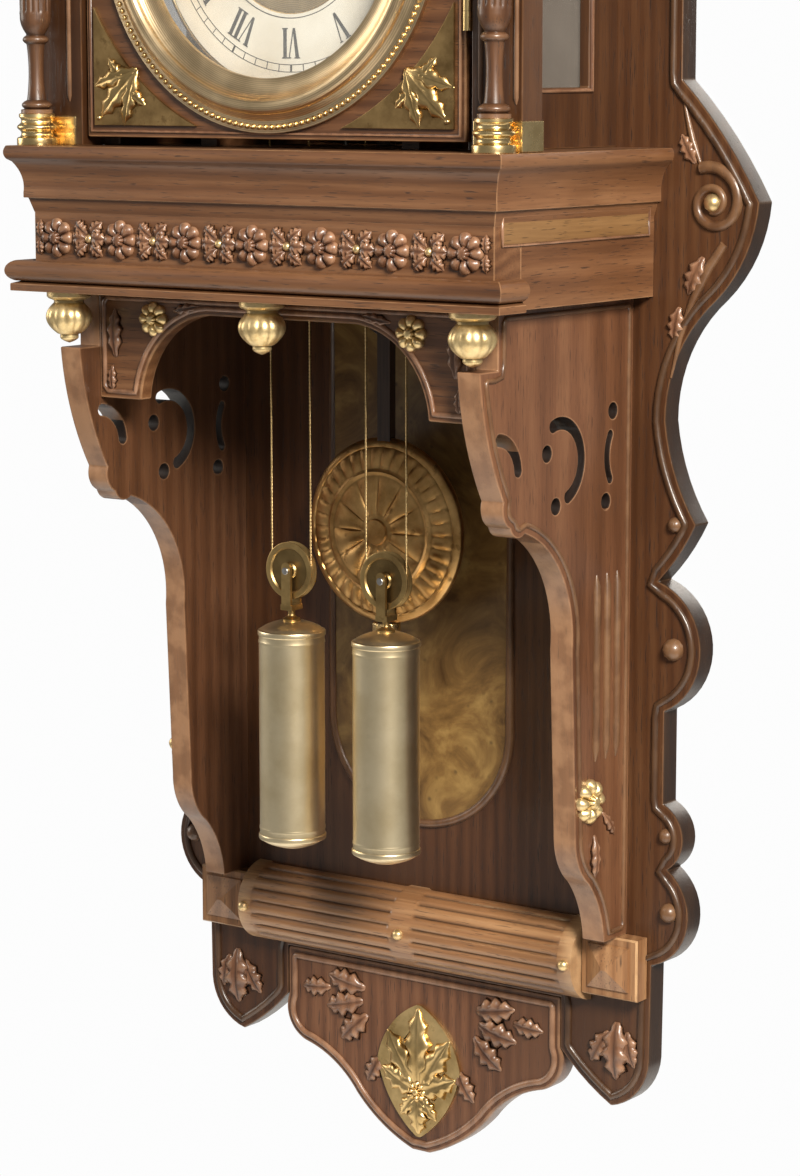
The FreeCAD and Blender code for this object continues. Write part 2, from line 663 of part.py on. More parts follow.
finial_r, finial_h = S.finial_radius, S.finial_tall
finial_profile = [
    (0, 0), (finial_r * 0.95, 0), (finial_r * 0.95, finial_h * 0.32), (finial_r * 0.5, finial_h * 0.37),
    (finial_r * 0.35, finial_h * 0.42),
    dome((finial_r * 0.35, finial_h * 0.42), (finial_r * 0.35, finial_h * 0.72)),
    (finial_r * 0.25, finial_h * 0.78), (finial_r * 0.3, finial_h * 0.86),
    dome((finial_r * 0.3, finial_h * 0.86), (0, finial_h))]
corner_finial = turned_upright("FinialRight", finial_profile, roof_half - S.finial_inset,
                               roof_front + S.finial_inset, roof_top)
top_r, top_h = finial_r * 0.8, finial_h * 0.6
top_finial = turned_upright("FinialTop", [
    (0, 0), (top_r * 0.9, 0), (top_r * 0.9, top_h * 0.1), (top_r * 0.4, top_h * 0.24),
    dome((top_r * 0.4, top_h * 0.24), (top_r * 0.35, top_h * 0.7)), (top_r * 0.3, top_h * 0.82),
    dome((top_r * 0.3, top_h * 0.82), (0, top_h))],
    0, crest_front + S.crest_thick / 2, roof_top + crest_h)
node(grouped("Finials", [corner_finial, mirrored("FinialLeft", corner_finial), top_finial]), "crest_finials")

# Door: wooden frame, brass bezel with its glass, corner mounts, knob and hinges
door_front = hood_front - S.door_thick
door_sill, door_head = shelf + S.door_gap, hood_top - S.door_gap
door_edge = [(-S.door_half, door_sill), (S.door_half, door_sill), (S.door_half, door_head),
             (-S.door_half, door_head)]
node(board("DoorFrame", [door_edge, (0, dial_level, S.opening_radius)], S.door_thick, hood_front),
     "door_frame")

proud, bezel_r, sight_r = S.bezel_proud, S.bezel_radius, S.sight_radius
sleeve_in, sleeve_out = S.glass_radius + S.fit_gap, S.opening_radius - S.fit_gap
node(turned_facing("Bezel", [
    (0, sight_r), (-3, sight_r), (proud * -0.6, sight_r + 13, (proud * -0.3, sight_r + 8)),
    (proud * -0.6, bezel_r - 12, (-proud, (sight_r + bezel_r) / 2)),
    (proud * -0.4, bezel_r - 8), (proud * -0.3, bezel_r), (0, bezel_r), (0, sleeve_out),
    (S.door_thick * 0.7, sleeve_out), (S.door_thick * 0.7, sleeve_in), (0, sleeve_in)],
    0, door_front, dial_level), "bezel")
node(rod("DialGlass", "Y", 0, door_front, dial_level, S.glass_radius, S.glass_thick), "door_glass")

corner_x = S.door_half - S.corner_inset
corner_round = (S.bezel_radius + S.corner_gap) * math.sqrt(0.5)


def corner_mount(name, edge, way):
    """A pair of corner plates between the bezel and the top or foot of the door."""
    plate = board(name, [[
        (corner_x, edge), (corner_x, dial_level + S.bezel_radius * 0.4 * way),
        (S.bezel_radius * 0.43, edge, (corner_round, dial_level + corner_round * way))]],
        S.mount_thick, door_front)
    return [plate, mirrored(name + "Left", plate)]


node(grouped("CornerMounts", corner_mount("CornerHigh", door_head - S.corner_inset, 1)
             + corner_mount("CornerLow", door_sill + S.corner_inset, -1)), "door_corner_mounts")

knob_r, knob_out = S.knob_radius, S.knob_proud
node(turned_facing("Knob", [
    (0, 0), (0, knob_r * 0.8), (knob_out * -0.12, knob_r * 0.8), (knob_out * -0.22, knob_r * 0.42),
    (knob_out * -0.35, knob_r * 0.45), dome((knob_out * -0.35, knob_r * 0.45), (-knob_out, 0), 1)],
    -(S.door_half - S.knob_inset), door_front, dial_level - S.bezel_radius * 0.22), "door_knob")

hinge_x, hinge_y = hood_half - 1, door_front - S.hinge_proud
barrel_long = S.knuckle_long * 3 + S.end_gap * 2
leaf_front = hinge_y + S.knuckle_radius + 1


def hinge(name, level, moving):
    """One leaf of a door hinge with its knuckles: the fixed one also carries the pin."""
    middle = level + S.knuckle_long + S.end_gap
    side = S.door_half if moving else hood_half
    reach = S.door_thick - 4 if moving else S.hinge_reach
    pieces = [box(name + "Leaf", side, leaf_front, level, S.hinge_leaf, reach, barrel_long)]
    starts = [middle] if moving else [level, level + (S.knuckle_long + S.end_gap) * 2]
    for index, start in enumerate(starts):
        pieces.append(rod(f"{name}Knuckle{index}", "Z", hinge_x, hinge_y, start, S.knuckle_radius,
                          S.knuckle_long))
        pieces.append(box(f"{name}Tab{index}", side, hinge_y, start, S.hinge_leaf, S.knuckle_radius + 1.5,
                          S.knuckle_long))
    pin_r = S.knuckle_radius / 2
    if not moving:
        pieces.append(rod(name + "Pin", "Z", hinge_x, hinge_y, level, pin_r, barrel_long))
        return fused(name, pieces)
    bore = rod(name + "Bore", "Z", hinge_x, hinge_y, middle - 1, pin_r + S.run_gap, S.knuckle_long + 2)
    return cut(name, fused(name + "Body", pieces), [bore])


hinge_levels = [door_sill + S.hinge_inset, door_head - S.hinge_inset - barrel_long]
for label, moving in (("hinge_fixed_leaves", False), ("hinge_door_leaves", True)):
    leaves = [hinge(f"{label.title().replace('_', '')}{index}", level, moving)
              for index, level in enumerate(hinge_levels)]
    node(grouped(label.title().replace("_", ""), leaves), label)

# Dial with feet, chapter ring, movement plates, pillars and the seat they stand on
barrel_level = dial_level - S.barrel_drop
plate_half = outer_line + S.plate_margin
cheek_half = plate_half + S.cheek_over
dial_back = S.dial_thick - S.dial_out
winder_holes = [(S.barrel_side * side, barrel_level, S.winder_hole) for side in (-1, 1)]
dial_disc = board("DialDisc", [(0, dial_level, S.dial_radius), (0, dial_level, S.dial_hole)] + winder_holes,
                  S.dial_thick, dial_back)
feet_long = -dial_back - S.plate_front
dial_feet = [rod(f"DialFoot{index}", "Y", plate_half * 0.86 * side, dial_back,
                 dial_level + plate_half * 0.8 * rise, S.pillar_radius * 0.7, feet_long)
             for index, (side, rise) in enumerate(((-1, -1), (1, -1), (1, 1), (-1, 1)))]
node(fused("Dial", [dial_disc] + dial_feet), "dial_plate")
node(board("ChapterRing", [(0, dial_level, S.ring_outer), (0, dial_level, S.ring_inner)], S.ring_thick,
           -S.dial_out), "chapter_ring")

# Gear trains: places of the arbors from the dial centre in X and Z, and the wheels they carry
GREAT, CENTRE_PINION, CENTRE, THIRD_PINION, THIRD, ESCAPE_PINION = 72, 12, 72, 8, 65, 8
CENTRE_MODULE, THIRD_MODULE = 0.7, 0.65
PIN_PINION, PIN_WHEEL, LOCK_PINION, LOCK_WHEEL, FLY_PINION = 12, 64, 8, 56, 8
PIN_MODULE, LOCK_MODULE = 0.7, 0.6
CANNON, MINUTE_WHEEL, MINUTE_PINION, HOUR_WHEEL = 12, 36, 10, 40
CANNON_MODULE = 0.8
THIRD_ACROSS, ESCAPE_ACROSS, PIN_ACROSS, LOCK_ACROSS, FLY_ACROSS = 14, -14, -10, 10, -14


def apart(module, teeth, leaves):
    return module * (teeth + leaves) / 2


def beyond(start, across, distance):
    """The point at a distance from a start, a given way across and above it."""
    return (start[0] + across, start[1] + math.sqrt(distance * distance - across * across))


barrel_at = (num(S.barrel_side), -num(S.barrel_drop))
great_module = 2 * math.hypot(*barrel_at) / (GREAT + CENTRE_PINION)
strike_at = (-barrel_at[0], barrel_at[1])
centre_at = (0.0, 0.0)
third_at = beyond(centre_at, THIRD_ACROSS, apart(CENTRE_MODULE, CENTRE, THIRD_PINION))
escape_at = beyond(third_at, ESCAPE_ACROSS, apart(THIRD_MODULE, THIRD, ESCAPE_PINION))
anchor_at = (0.0, num(S.pivot_rise))
pin_at = beyond(strike_at, PIN_ACROSS, apart(great_module, GREAT, PIN_PINION))
lock_at = beyond(pin_at, LOCK_ACROSS, apart(PIN_MODULE, PIN_WHEEL, LOCK_PINION))
fly_at = beyond(lock_at, FLY_ACROSS, apart(LOCK_MODULE, LOCK_WHEEL, FLY_PINION))
motion_reach = apart(CANNON_MODULE, CANNON, MINUTE_WHEEL)
hour_module = motion_reach * 2 / (MINUTE_PINION + HOUR_WHEEL)
stud_at = (0.0, -motion_reach)
hammer_at = (-num(S.hammer_side), -num(S.hammer_drop))

post_level = barrel_level + S.post_radius
bore = S.arbor_radius + S.pivot_gap
thick_bore = S.winder_radius + S.pivot_gap
plate_foot, plate_head = dial_level - S.plate_below, dial_level + S.plate_above
plate_edge = [(-plate_half, plate_foot), (plate_half, plate_foot), (plate_half, plate_head),
              (-plate_half, plate_head)]
pivot_holes = [(at[0], dial_level + at[1], bore)
               for at in (centre_at, third_at, escape_at, anchor_at, pin_at, lock_at, fly_at, hammer_at)]
pivot_holes += [(at[0], dial_level + at[1], thick_bore) for at in (barrel_at, strike_at)]
front_plate = board("FrontPlate", [plate_edge] + pivot_holes, S.plate_thick, S.plate_thick - S.plate_front)
stud_long = S.hour_wheel_out + 2
stud = rod("MinuteStud", "Y", stud_at[0], -S.plate_front - stud_long, dial_level + stud_at[1],
           S.arbor_radius, stud_long)
strike_post = rod("StrikePost", "Y", -outer_line, S.plate_thick - S.plate_front, post_level, S.post_radius,
                  S.plate_front - S.plate_thick - S.line_out + 3)
node(fused("FrontPlateStud", [front_plate, stud, strike_post]), "movement_front_plate")
back_plate = board("BackPlate", [plate_edge] + pivot_holes, S.plate_thick, -S.plate_back)

pillar_long = S.plate_front - S.plate_back - S.plate_thick * 2
pillar_x = plate_half - S.pillar_inset
pillar_levels = (plate_foot + S.pillar_inset, plate_head - S.pillar_inset)
pillar_spots = [(pillar_x * side, level) for side in (-1, 1) for level in pillar_levels]
pillars = [rod(f"Pillar{index}", "Y", across, S.plate_thick - S.plate_front, level, S.pillar_radius,
               pillar_long)
           for index, (across, level) in enumerate(pillar_spots)]
time_post = rod("TimePost", "Y", outer_line, -S.line_out - 3, post_level, S.post_radius,
                S.line_out + 3 - S.plate_back - S.plate_thick)
node(fused("BackPlatePillars", [back_plate, time_post] + pillars), "movement_back_plate")

seat_level = plate_foot - S.seat_thick
cheek = box("Cheek", cheek_half - S.seat_thick, -S.seat_front, shelf, S.seat_thick,
            S.seat_front - S.board_thick, S.dial_rise - S.plate_below - S.seat_thick)
seat_board = box("SeatBoard", -cheek_half, -S.seat_front, seat_level, cheek_half * 2,
                 S.seat_front - S.seat_rear, S.seat_thick)
seat_slot = box("SeatSlot", inner_line - S.slot_gap, -S.line_out - S.slot_gap, seat_level - 1,
                (S.pulley_radius + S.slot_gap) * 2, S.slot_gap * 2, S.seat_thick + 2)
seat_cut = cut("SeatBoardSlotted", seat_board, [seat_slot, mirrored("SeatSlotLeft", seat_slot)])
node(grouped("Seat", [seat_cut, cheek, mirrored("CheekLeft", cheek)]), "movement_seat")


def at_dial(at, y):
    return Vector(at[0], y, num(dial_level) + at[1])


def toothed(at, y, thick, teeth, module, phase, share, hole=0.0, windows=0):
    """A wheel or pinion in the X-Z plane, with one tooth centred on the angle given as phase."""
    pitch_radius = module * teeth / 2
    root, tip = pitch_radius - 1.15 * module, pitch_radius + 0.75 * module
    step = 2 * math.pi / teeth
    points = []
    for tooth in range(teeth):
        middle = phase + tooth * step
        for radius, half in ((root, 1.25), (tip, 0.5), (tip, -0.5), (root, -1.25)):
            angle = middle - half * share * step / 2
            points.append(at_dial((at[0] + radius * math.cos(angle), at[1] + radius * math.sin(angle)), y))
    shape = Part.Face(Part.makePolygon(points + points[:1])).extrude(Vector(0, thick, 0))
    for index in range(windows):
        angle = phase + (index + 0.5) * 2 * math.pi / windows
        middle = (at[0] + root * 0.6 * math.cos(angle), at[1] + root * 0.6 * math.sin(angle))
        shape = shape.cut(Part.makeCylinder(root * 0.25, thick + 2, at_dial(middle, y - 1), Vector(0, 1, 0)))
    if hole:
        shape = shape.cut(Part.makeCylinder(hole, thick + 2, at_dial(at, y - 1), Vector(0, 1, 0)))
    return shape


def bar(at, start, stop, radius):
    return Part.makeCylinder(radius, stop - start, at_dial(at, start), Vector(0, 1, 0))


def heading(start, stop):
    return math.atan2(stop[1] - start[1], stop[0] - start[0])


def wheel(at, mate, y, thick, teeth, module, hole=0.0, windows=5):
    return toothed(at, y, thick, teeth, module, heading(at, mate), 0.4, hole, windows)


def pinion(at, mate, y, thick, leaves, module, hole=0.0):
    return toothed(at, y, thick, leaves, module, heading(at, mate) + math.pi / leaves, 0.36, hole)


def joined(shapes):
    return shapes[0].fuse(shapes[1:]).removeSplitter()


front_end, back_end = -num(S.plate_front), -num(S.plate_back)
arbor = num(S.arbor_radius)
winder_bore = num(S.winder_radius + S.run_gap)


def arbor_node(label, at, pieces, start=front_end, stop=back_end):
    node(solid_feature(label.title().replace("_", ""), joined([bar(at, start, stop, arbor)] + pieces)), label)


def behind(depth):
    """A station measured back from the front of the front plate."""
    return front_end + num(depth)


great_thick, wheel_thick, lead = num(S.great_thick), num(S.wheel_thick), num(S.pinion_lead)
great_y, centre_y, third_y, escape_y = [behind(depth) for depth in (
    S.great_depth, S.centre_depth, S.third_depth, S.escape_depth)]
strike_y, pin_y, lock_y = [behind(depth) for depth in (S.strike_depth, S.pin_depth, S.lock_depth)]
great_pinion_long, pinion_long = great_thick + lead * 2, wheel_thick + lead * 2
ring_front = -num(S.dial_out + S.ring_thick)
hour_hand_y, minute_hand_y = ring_front - num(S.hour_hand_out), ring_front - num(S.minute_hand_out)

node(solid_feature("TimeGreat", wheel(barrel_at, centre_at, great_y, great_thick, GREAT, great_module,
                                      winder_bore)), "time_great_wheel")
arbor_node("centre_wheel", centre_at, [
    pinion(centre_at, barrel_at, great_y - lead, great_pinion_long, CENTRE_PINION, great_module),
    wheel(centre_at, third_at, centre_y, wheel_thick, CENTRE, CENTRE_MODULE)], minute_hand_y - 2)
arbor_node("third_wheel", third_at, [
    pinion(third_at, centre_at, centre_y - lead, pinion_long, THIRD_PINION, CENTRE_MODULE),
    wheel(third_at, escape_at, third_y, wheel_thick, THIRD, THIRD_MODULE)])
node(solid_feature("StrikeGreat", wheel(strike_at, pin_at, strike_y, great_thick, GREAT, great_module,
                                        winder_bore)), "strike_great_wheel")
arbor_node("strike_pin_wheel", pin_at, [
    pinion(pin_at, strike_at, strike_y - lead, great_pinion_long, PIN_PINION, great_module),
    wheel(pin_at, lock_at, pin_y, wheel_thick, PIN_WHEEL, PIN_MODULE)])
arbor_node("strike_locking_wheel", lock_at, [
    pinion(lock_at, pin_at, pin_y - lead, pinion_long, LOCK_PINION, PIN_MODULE),
    wheel(lock_at, fly_at, lock_y, wheel_thick, LOCK_WHEEL, LOCK_MODULE)])
vane_wide, vane_long, vane_thick = 22, 15, 0.8
fly_vane = Part.makeBox(vane_wide, vane_long, vane_thick,
                        at_dial((fly_at[0] - vane_wide / 2, fly_at[1] - vane_thick / 2), lock_y + lead * 4))
arbor_node("strike_fly", fly_at, [
    pinion(fly_at, lock_at, lock_y - lead, pinion_long, FLY_PINION, LOCK_MODULE), fly_vane])

# Escape wheel with raked teeth; the anchor's pallets swing just outside the tooth tips
ESCAPE_TEETH = 36
escape_radius, escape_root = num(S.escape_radius), num(S.escape_radius) - 3
escape_points = []
for tooth in range(ESCAPE_TEETH):
    for turn, radius in ((0.0, escape_root), (0.62, escape_radius), (0.7, escape_radius),
                         (0.72, escape_root)):
        angle = (tooth + turn) * 2 * math.pi / ESCAPE_TEETH
        escape_points.append(at_dial((escape_at[0] + radius * math.cos(angle),
                                      escape_at[1] + radius * math.sin(angle)), escape_y))
escape_face = Part.Face(Part.makePolygon(escape_points + escape_points[:1]))
escape_disc = escape_face.extrude(Vector(0, wheel_thick, 0))
ESCAPE_WINDOWS = 5
for index in range(ESCAPE_WINDOWS):
    angle = (index + 0.5) * 2 * math.pi / ESCAPE_WINDOWS
    reach = escape_root * 0.57
    middle = (escape_at[0] + reach * math.cos(angle), escape_at[1] + reach * math.sin(angle))
    escape_disc = escape_disc.cut(bar(middle, escape_y - 1, escape_y + wheel_thick + 1, escape_root * 0.23))
arbor_node("escape_wheel", escape_at, [
    pinion(escape_at, third_at, third_y - lead, pinion_long, ESCAPE_PINION, THIRD_MODULE), escape_disc])

pallet_reach = (escape_radius + num(S.pallet_gap)) * math.sqrt(0.5)
pallet = (pallet_reach, escape_at[1] + pallet_reach)
rise = anchor_at[1]
anchor_right = [(0, rise + 4.5), (6, rise + 3.5), (pallet[0] + 4, rise - 7),
                (pallet[0] + 3.2, pallet[1] + 1.3), pallet, (pallet[0] + 0.2, pallet[1] + 3.2),
                (4, rise - 3), (0, rise - 4)]
anchor_edge = anchor_right + [(-x, z) for x, z in reversed(anchor_right[1:-1])]
anchor_points = [at_dial(point, escape_y - lead) for point in anchor_edge]
anchor_body = Part.Face(Part.makePolygon(anchor_points + anchor_points[:1])).extrude(
    Vector(0, wheel_thick + lead * 2, 0))
rod_half, prong = num(S.rod_wide) / 2 + 0.5, 2.0
rod_rear = -num(S.rod_out) + num(S.rod_thick) / 2
crutch_foot, crutch_thick, tip_tall = rise - 88, 3, 6
crutch_y, crutch_end = back_end + 4, back_end + 13
fork_y = crutch_y + crutch_thick
crutch = [
    bar(anchor_at, back_end + 2, crutch_end, 3.5),
    Part.makeBox(4, crutch_thick, rise - crutch_foot - 2, at_dial((-2, crutch_foot + 2), crutch_y)),
    Part.makeBox(2 * (rod_half + prong), crutch_thick, tip_tall,
                 at_dial((-rod_half - prong, crutch_foot), crutch_y)),
    Part.makeBox(prong, rod_rear - fork_y, tip_tall, at_dial((rod_half, crutch_foot), fork_y)),
    Part.makeBox(prong, rod_rear - fork_y, tip_tall, at_dial((-rod_half - prong, crutch_foot), fork_y)),
]
arbor_node("anchor_and_crutch", anchor_at, [anchor_body] + crutch, front_end, crutch_end)


# Motion work and hands, set at ten minutes past ten
def hand(length, width, angle, y, thick):
    """A tapered hand with a lozenge near its point, clockwise by an angle from twelve."""
    outline = [(-width * 0.5, 0), (-width * 0.3, length * 0.6), (-width * 0.8, length * 0.7), (0, length),
               (width * 0.8, length * 0.7), (width * 0.3, length * 0.6), (width * 0.5, 0)]
    turn = math.radians(angle)
    points = [at_dial((x * math.cos(turn) + z * math.sin(turn), z * math.cos(turn) - x * math.sin(turn)), y)
              for x, z in outline]
    return Part.Face(Part.makePolygon(points + points[:1])).extrude(Vector(0, thick, 0))


def sleeve(shapes, start, stop, outer, inner):
    """Shapes on a tube about the dial centre, bored through."""
    body = joined([bar(centre_at, start, stop, outer)] + shapes)
    return body.cut(bar(centre_at, start - 1, stop + 1, inner))


run, hand_thick = num(S.run_gap), num(S.hand_thick)
cannon_inner, cannon_outer = arbor + run, arbor + run + 1
hour_inner = cannon_outer + run
hour_outer = hour_inner + 1.1
motion_y, hour_wheel_y = front_end - num(S.motion_out), front_end - num(S.hour_wheel_out)
mesh_lead = lead / 2
motion_long = wheel_thick + mesh_lead * 2
minute_shapes = [pinion(centre_at, stud_at, motion_y - mesh_lead, motion_long, CANNON, CANNON_MODULE),
                 hand(num(S.minute_long), 6, 60, minute_hand_y, hand_thick),
                 bar(centre_at, minute_hand_y, minute_hand_y + hand_thick, 6)]
minute_tube = sleeve(minute_shapes, minute_hand_y, motion_y + wheel_thick + mesh_lead, cannon_outer,
                     cannon_inner)
node(solid_feature("MinuteHand", minute_tube), "minute_hand")
hour_shapes = [wheel(centre_at, stud_at, hour_wheel_y, wheel_thick, HOUR_WHEEL, hour_module, 0, 0),
               hand(num(S.hour_long), 8, 305, hour_hand_y, hand_thick),
               bar(centre_at, hour_hand_y, hour_hand_y + hand_thick, 8)]
hour_tube = sleeve(hour_shapes, hour_hand_y, hour_wheel_y + wheel_thick + 0.5, hour_outer, hour_inner)
node(solid_feature("HourHand", hour_tube), "hour_hand")
minute_start, minute_stop = hour_wheel_y - mesh_lead, motion_y + wheel_thick
minute_wheel = joined([wheel(stud_at, centre_at, motion_y, wheel_thick, MINUTE_WHEEL, CANNON_MODULE, 0, 0),
                       pinion(stud_at, centre_at, minute_start, motion_long, MINUTE_PINION, hour_module),
                       bar(stud_at, minute_start, minute_stop, 2.6)])
minute_bore = bar(stud_at, minute_start - 1, minute_stop + 1, arbor + run)
node(solid_feature("MinuteWheel", minute_wheel.cut(minute_bore)), "minute_wheel")

# Barrels, lines, pulleys and weights, one set for the going and one for the strike
pulley_level = below(S.weight_top) + S.pulley_rise
for word, side in (("time", 1), ("strike", -1)):
    name = word.title()
    across = weight_side * side
    drum_at = S.barrel_side * side
    core = S.drum_radius - S.line_radius - S.fit_gap
    drum_start = -S.line_out - S.drum_half
    flange_radius = S.drum_radius + S.flange_over
    pieces = [
        rod(name + "Drum", "Y", drum_at, drum_start, barrel_level, core, S.drum_half * 2),
        rod(name + "FlangeFront", "Y", drum_at, drum_start, barrel_level, flange_radius, S.flange_thick),
        rod(name + "FlangeBack", "Y", drum_at, S.drum_half - S.line_out - S.flange_thick, barrel_level,
            flange_radius, S.flange_thick),
        rod(name + "Winder", "Y", drum_at, -S.dial_out + 1, barrel_level, S.winder_radius,
            S.dial_out - S.plate_back - 1),
    ]
    node(fused(name + "Barrel", pieces), word + "_barrel")

    strand = rod(name + "LineInner", "Z", inner_line * side, -S.line_out, pulley_level, S.line_radius,
                 barrel_level - pulley_level)
    fixed_strand = rod(name + "LineOuter", "Z", outer_line * side, -S.line_out, pulley_level, S.line_radius,
                       barrel_level - pulley_level)
    node(grouped(name + "Line", [strand, fixed_strand]), word + "_line")

    groove = S.pulley_radius - S.line_radius - S.fit_gap
    half = S.pulley_thick / 2
    axle = S.arbor_radius
    node(turned_facing(name + "Pulley", [
        (-half, axle + S.run_gap), (-half, S.pulley_rim), (-half * 0.63, S.pulley_rim),
        (half * 0.63, S.pulley_rim, (0, groove)), (half, S.pulley_rim), (half, axle + S.run_gap)],
        across, -S.line_out, pulley_level), word + "_pulley")

    r, tall = S.weight_radius, S.weight_tall
    shell = turned_upright(name + "Shell", [
        (0, 0), (r * 0.4, 0), (r * 0.94, -6, (r * 0.75, -2)), (r, -6), (r, -10), (r * 0.97, -10),
        (r * 0.97, 10 - tall), (r, 10 - tall), (r, 6 - tall), (r * 0.94, 6 - tall),
        (r * 0.4, -tall, (r * 0.75, 2 - tall)), (0, -tall)], across, -S.line_out, below(S.weight_top))
    cheek_in = half + S.stirrup_gap
    base = below(S.weight_top)
    stirrup = fused(name + "Stirrup", [
        rod(name + "Post", "Z", across, -S.line_out, base, 2.5, 10),
        box(name + "Yoke", across - 5, -S.line_out - cheek_in - S.stirrup_thick, base + 8, 10,
            (cheek_in + S.stirrup_thick) * 2, 4),
        box(name + "CheekFront", across - S.stirrup_wide / 2, -S.line_out - cheek_in - S.stirrup_thick,
            base + 8, S.stirrup_wide, S.stirrup_thick, S.pulley_rise - 2),
        box(name + "CheekBack", across - S.stirrup_wide / 2, -S.line_out + cheek_in,
            base + 8, S.stirrup_wide, S.stirrup_thick, S.pulley_rise - 2),
        rod(name + "Axle", "Y", across, -S.line_out - cheek_in - S.stirrup_thick, pulley_level, axle,
            (cheek_in + S.stirrup_thick) * 2),
    ])
    node(grouped(name + "Weight", [shell, stirrup]), word + "_weight")

# Pendulum: suspension cock on the back plate, spring, flat rod through the bob, rating nut
cock_front, cock_rear = -S.rod_out - 14, -S.rod_out + 12
cock_left, cheek_thick, cheek_foot, cheek_tall = -S.cock_wide / 2, 6, pivot_level - 6, 13
cock_pieces = [
    box("CockBridge", cock_left, -S.plate_back, pivot_level + 6, S.cock_wide, S.plate_back + cock_rear, 8),
    box("CockFront", cock_left, cock_front, cheek_foot, S.cock_wide, cheek_thick, cheek_tall),
    box("CockRear", cock_left, cock_rear - cheek_thick, cheek_foot, S.cock_wide, cheek_thick, cheek_tall),
]
cock_bore = rod("CockBore", "Y", 0, cock_front - 1, pivot_level, S.pin_radius + S.run_gap,
                cock_rear - cock_front + 2)
node(cut("Cock", fused("CockBody", cock_pieces), [cock_bore]), "suspension_cock")
chop_foot = pivot_level - S.chop_drop
spring_pieces = [
    rod("SpringPin", "Y", 0, cock_front, pivot_level, S.pin_radius, cock_rear - cock_front),
    box("SpringStrip", -0.4, -S.rod_out - 5, chop_foot + 10, 0.8, 10, pivot_level - chop_foot - 10),
    box("SpringChop", -5, -S.rod_out - 6, chop_foot, 10, 12, 12),
]
node(fused("Spring", spring_pieces), "suspension_spring")
bob_level = below(S.bob_drop)
bob_foot = bob_level - S.bob_radius
node(fused("PendulumRod", [
    box("RodBlade", -S.rod_wide / 2, -S.rod_out - S.rod_thick / 2, bob_foot, S.rod_wide, S.rod_thick,
        chop_foot - bob_foot),
    rod("RodThread", "Z", 0, -S.rod_out, bob_foot - S.nut_tall - 12, S.thread_radius, S.nut_tall + 13)]),
    "pendulum_rod")
half, rim, edge = S.bob_thick / 2, S.bob_radius, S.bob_edge / 2
bob_lens = turned_facing("BobLens", [
    (-half, 0), dome((-half, 0), (-edge, rim), 1), (edge, rim), dome((edge, rim), (half, 0), 1)],
    0, -S.rod_out, bob_level)
bob_slot = box("BobSlot", -S.rod_wide / 2 - S.run_gap, -S.rod_out - S.rod_thick / 2 - S.run_gap, bob_foot - 1,
               S.rod_wide + S.run_gap * 2, S.rod_thick + S.run_gap * 2, rim * 2 + 2)
node(cut("Bob", bob_lens, [bob_slot]), "pendulum_bob")
nut_bore = S.thread_radius + S.run_gap
node(turned_upright("RatingNut", [
    (nut_bore, 0), (S.nut_radius, 0), (S.nut_radius, -S.nut_tall), (nut_bore, -S.nut_tall)],
    0, -S.rod_out, bob_foot), "rating_nut")

# Gong: a flat coil on a block behind the pendulum, and the hammer that swings against it
gong_level, gong_y, wire = num(below(S.gong_drop)), -num(S.gong_out), num(S.gong_wire) / 2
GONG_TURNS = 3
arcs = []
inner = num(S.gong_inner)
growth = (num(S.gong_outer) - inner) / (2 * GONG_TURNS)
edge_x, radius, way = -inner, inner, 1
for index in range(2 * GONG_TURNS):
    radius = inner + growth * (index + 0.5)
    middle_x = edge_x + radius * way
    top = Vector(middle_x, gong_y, gong_level + radius * way)
    arcs.append(Part.Arc(Vector(edge_x, gong_y, gong_level), top,
                         Vector(middle_x + radius * way, gong_y, gong_level)).toShape())
    edge_x = middle_x + radius * way
    way = -way
coil_start = Vector(-inner, gong_y, gong_level)
coil_section = Part.Wire(Part.makeCircle(wire, coil_start, Vector(0, 0, 1)))
coil = Part.Wire(arcs).makePipeShell([coil_section], True, True)
turns = [arc.discretize(24) for arc in arcs]
gap = min((a - b).Length for index, turn in enumerate(turns) for other in turns[index + 2:]
          for a in turn for b in other) - wire * 2
if gap < 0.4:
    raise RuntimeError(f"the gong's turns come within {gap:.2f} mm")
print(f"least gap between the gong's turns {gap:.2f} mm")
gong_block = Part.makeBox(inner * 2, num(S.gong_out - S.board_thick) + 4, 22,
                          Vector(-inner - 3, gong_y - 4, gong_level - 14))
node(solid_feature("Gong", joined([gong_block, coil])), "strike_gong")

hammer_pivot = at_dial(hammer_at, 0)
coil_left = min(coil.BoundBox.XMin, -num(S.gong_outer)) - num(S.hammer_gap)
head_long = num(S.hammer_long)
head_mid = Vector(coil_left - head_long / 2, gong_y, gong_level)
arm_start = Vector(hammer_pivot.x, gong_y, hammer_pivot.z)
arm = Part.makeCylinder(1.6, (head_mid - arm_start).Length, arm_start, head_mid - arm_start)
head = Part.makeCylinder(num(S.hammer_head), head_long, Vector(coil_left - head_long, gong_y, gong_level),
                         Vector(1, 0, 0))
arbor_node("strike_hammer", hammer_at, [arm, head], front_end, gong_y + 3)

doc.recompute()
faulty = [item.Label for item in doc.Objects if "Invalid" in item.State or "Error" in item.State]
for item in nodes:
    shape = item.Shape
    if shape.isNull() or not shape.isValid() or not shape.Solids:
        faulty.append(item.Label)
if faulty:
    raise RuntimeError("faulty: " + ", ".join(faulty))

os.makedirs("parts", exist_ok=True)
for item in nodes:
    item.Shape.exportStep(f"parts/{item.Label}.step")
print(len(nodes), "nodes written")
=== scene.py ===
import math

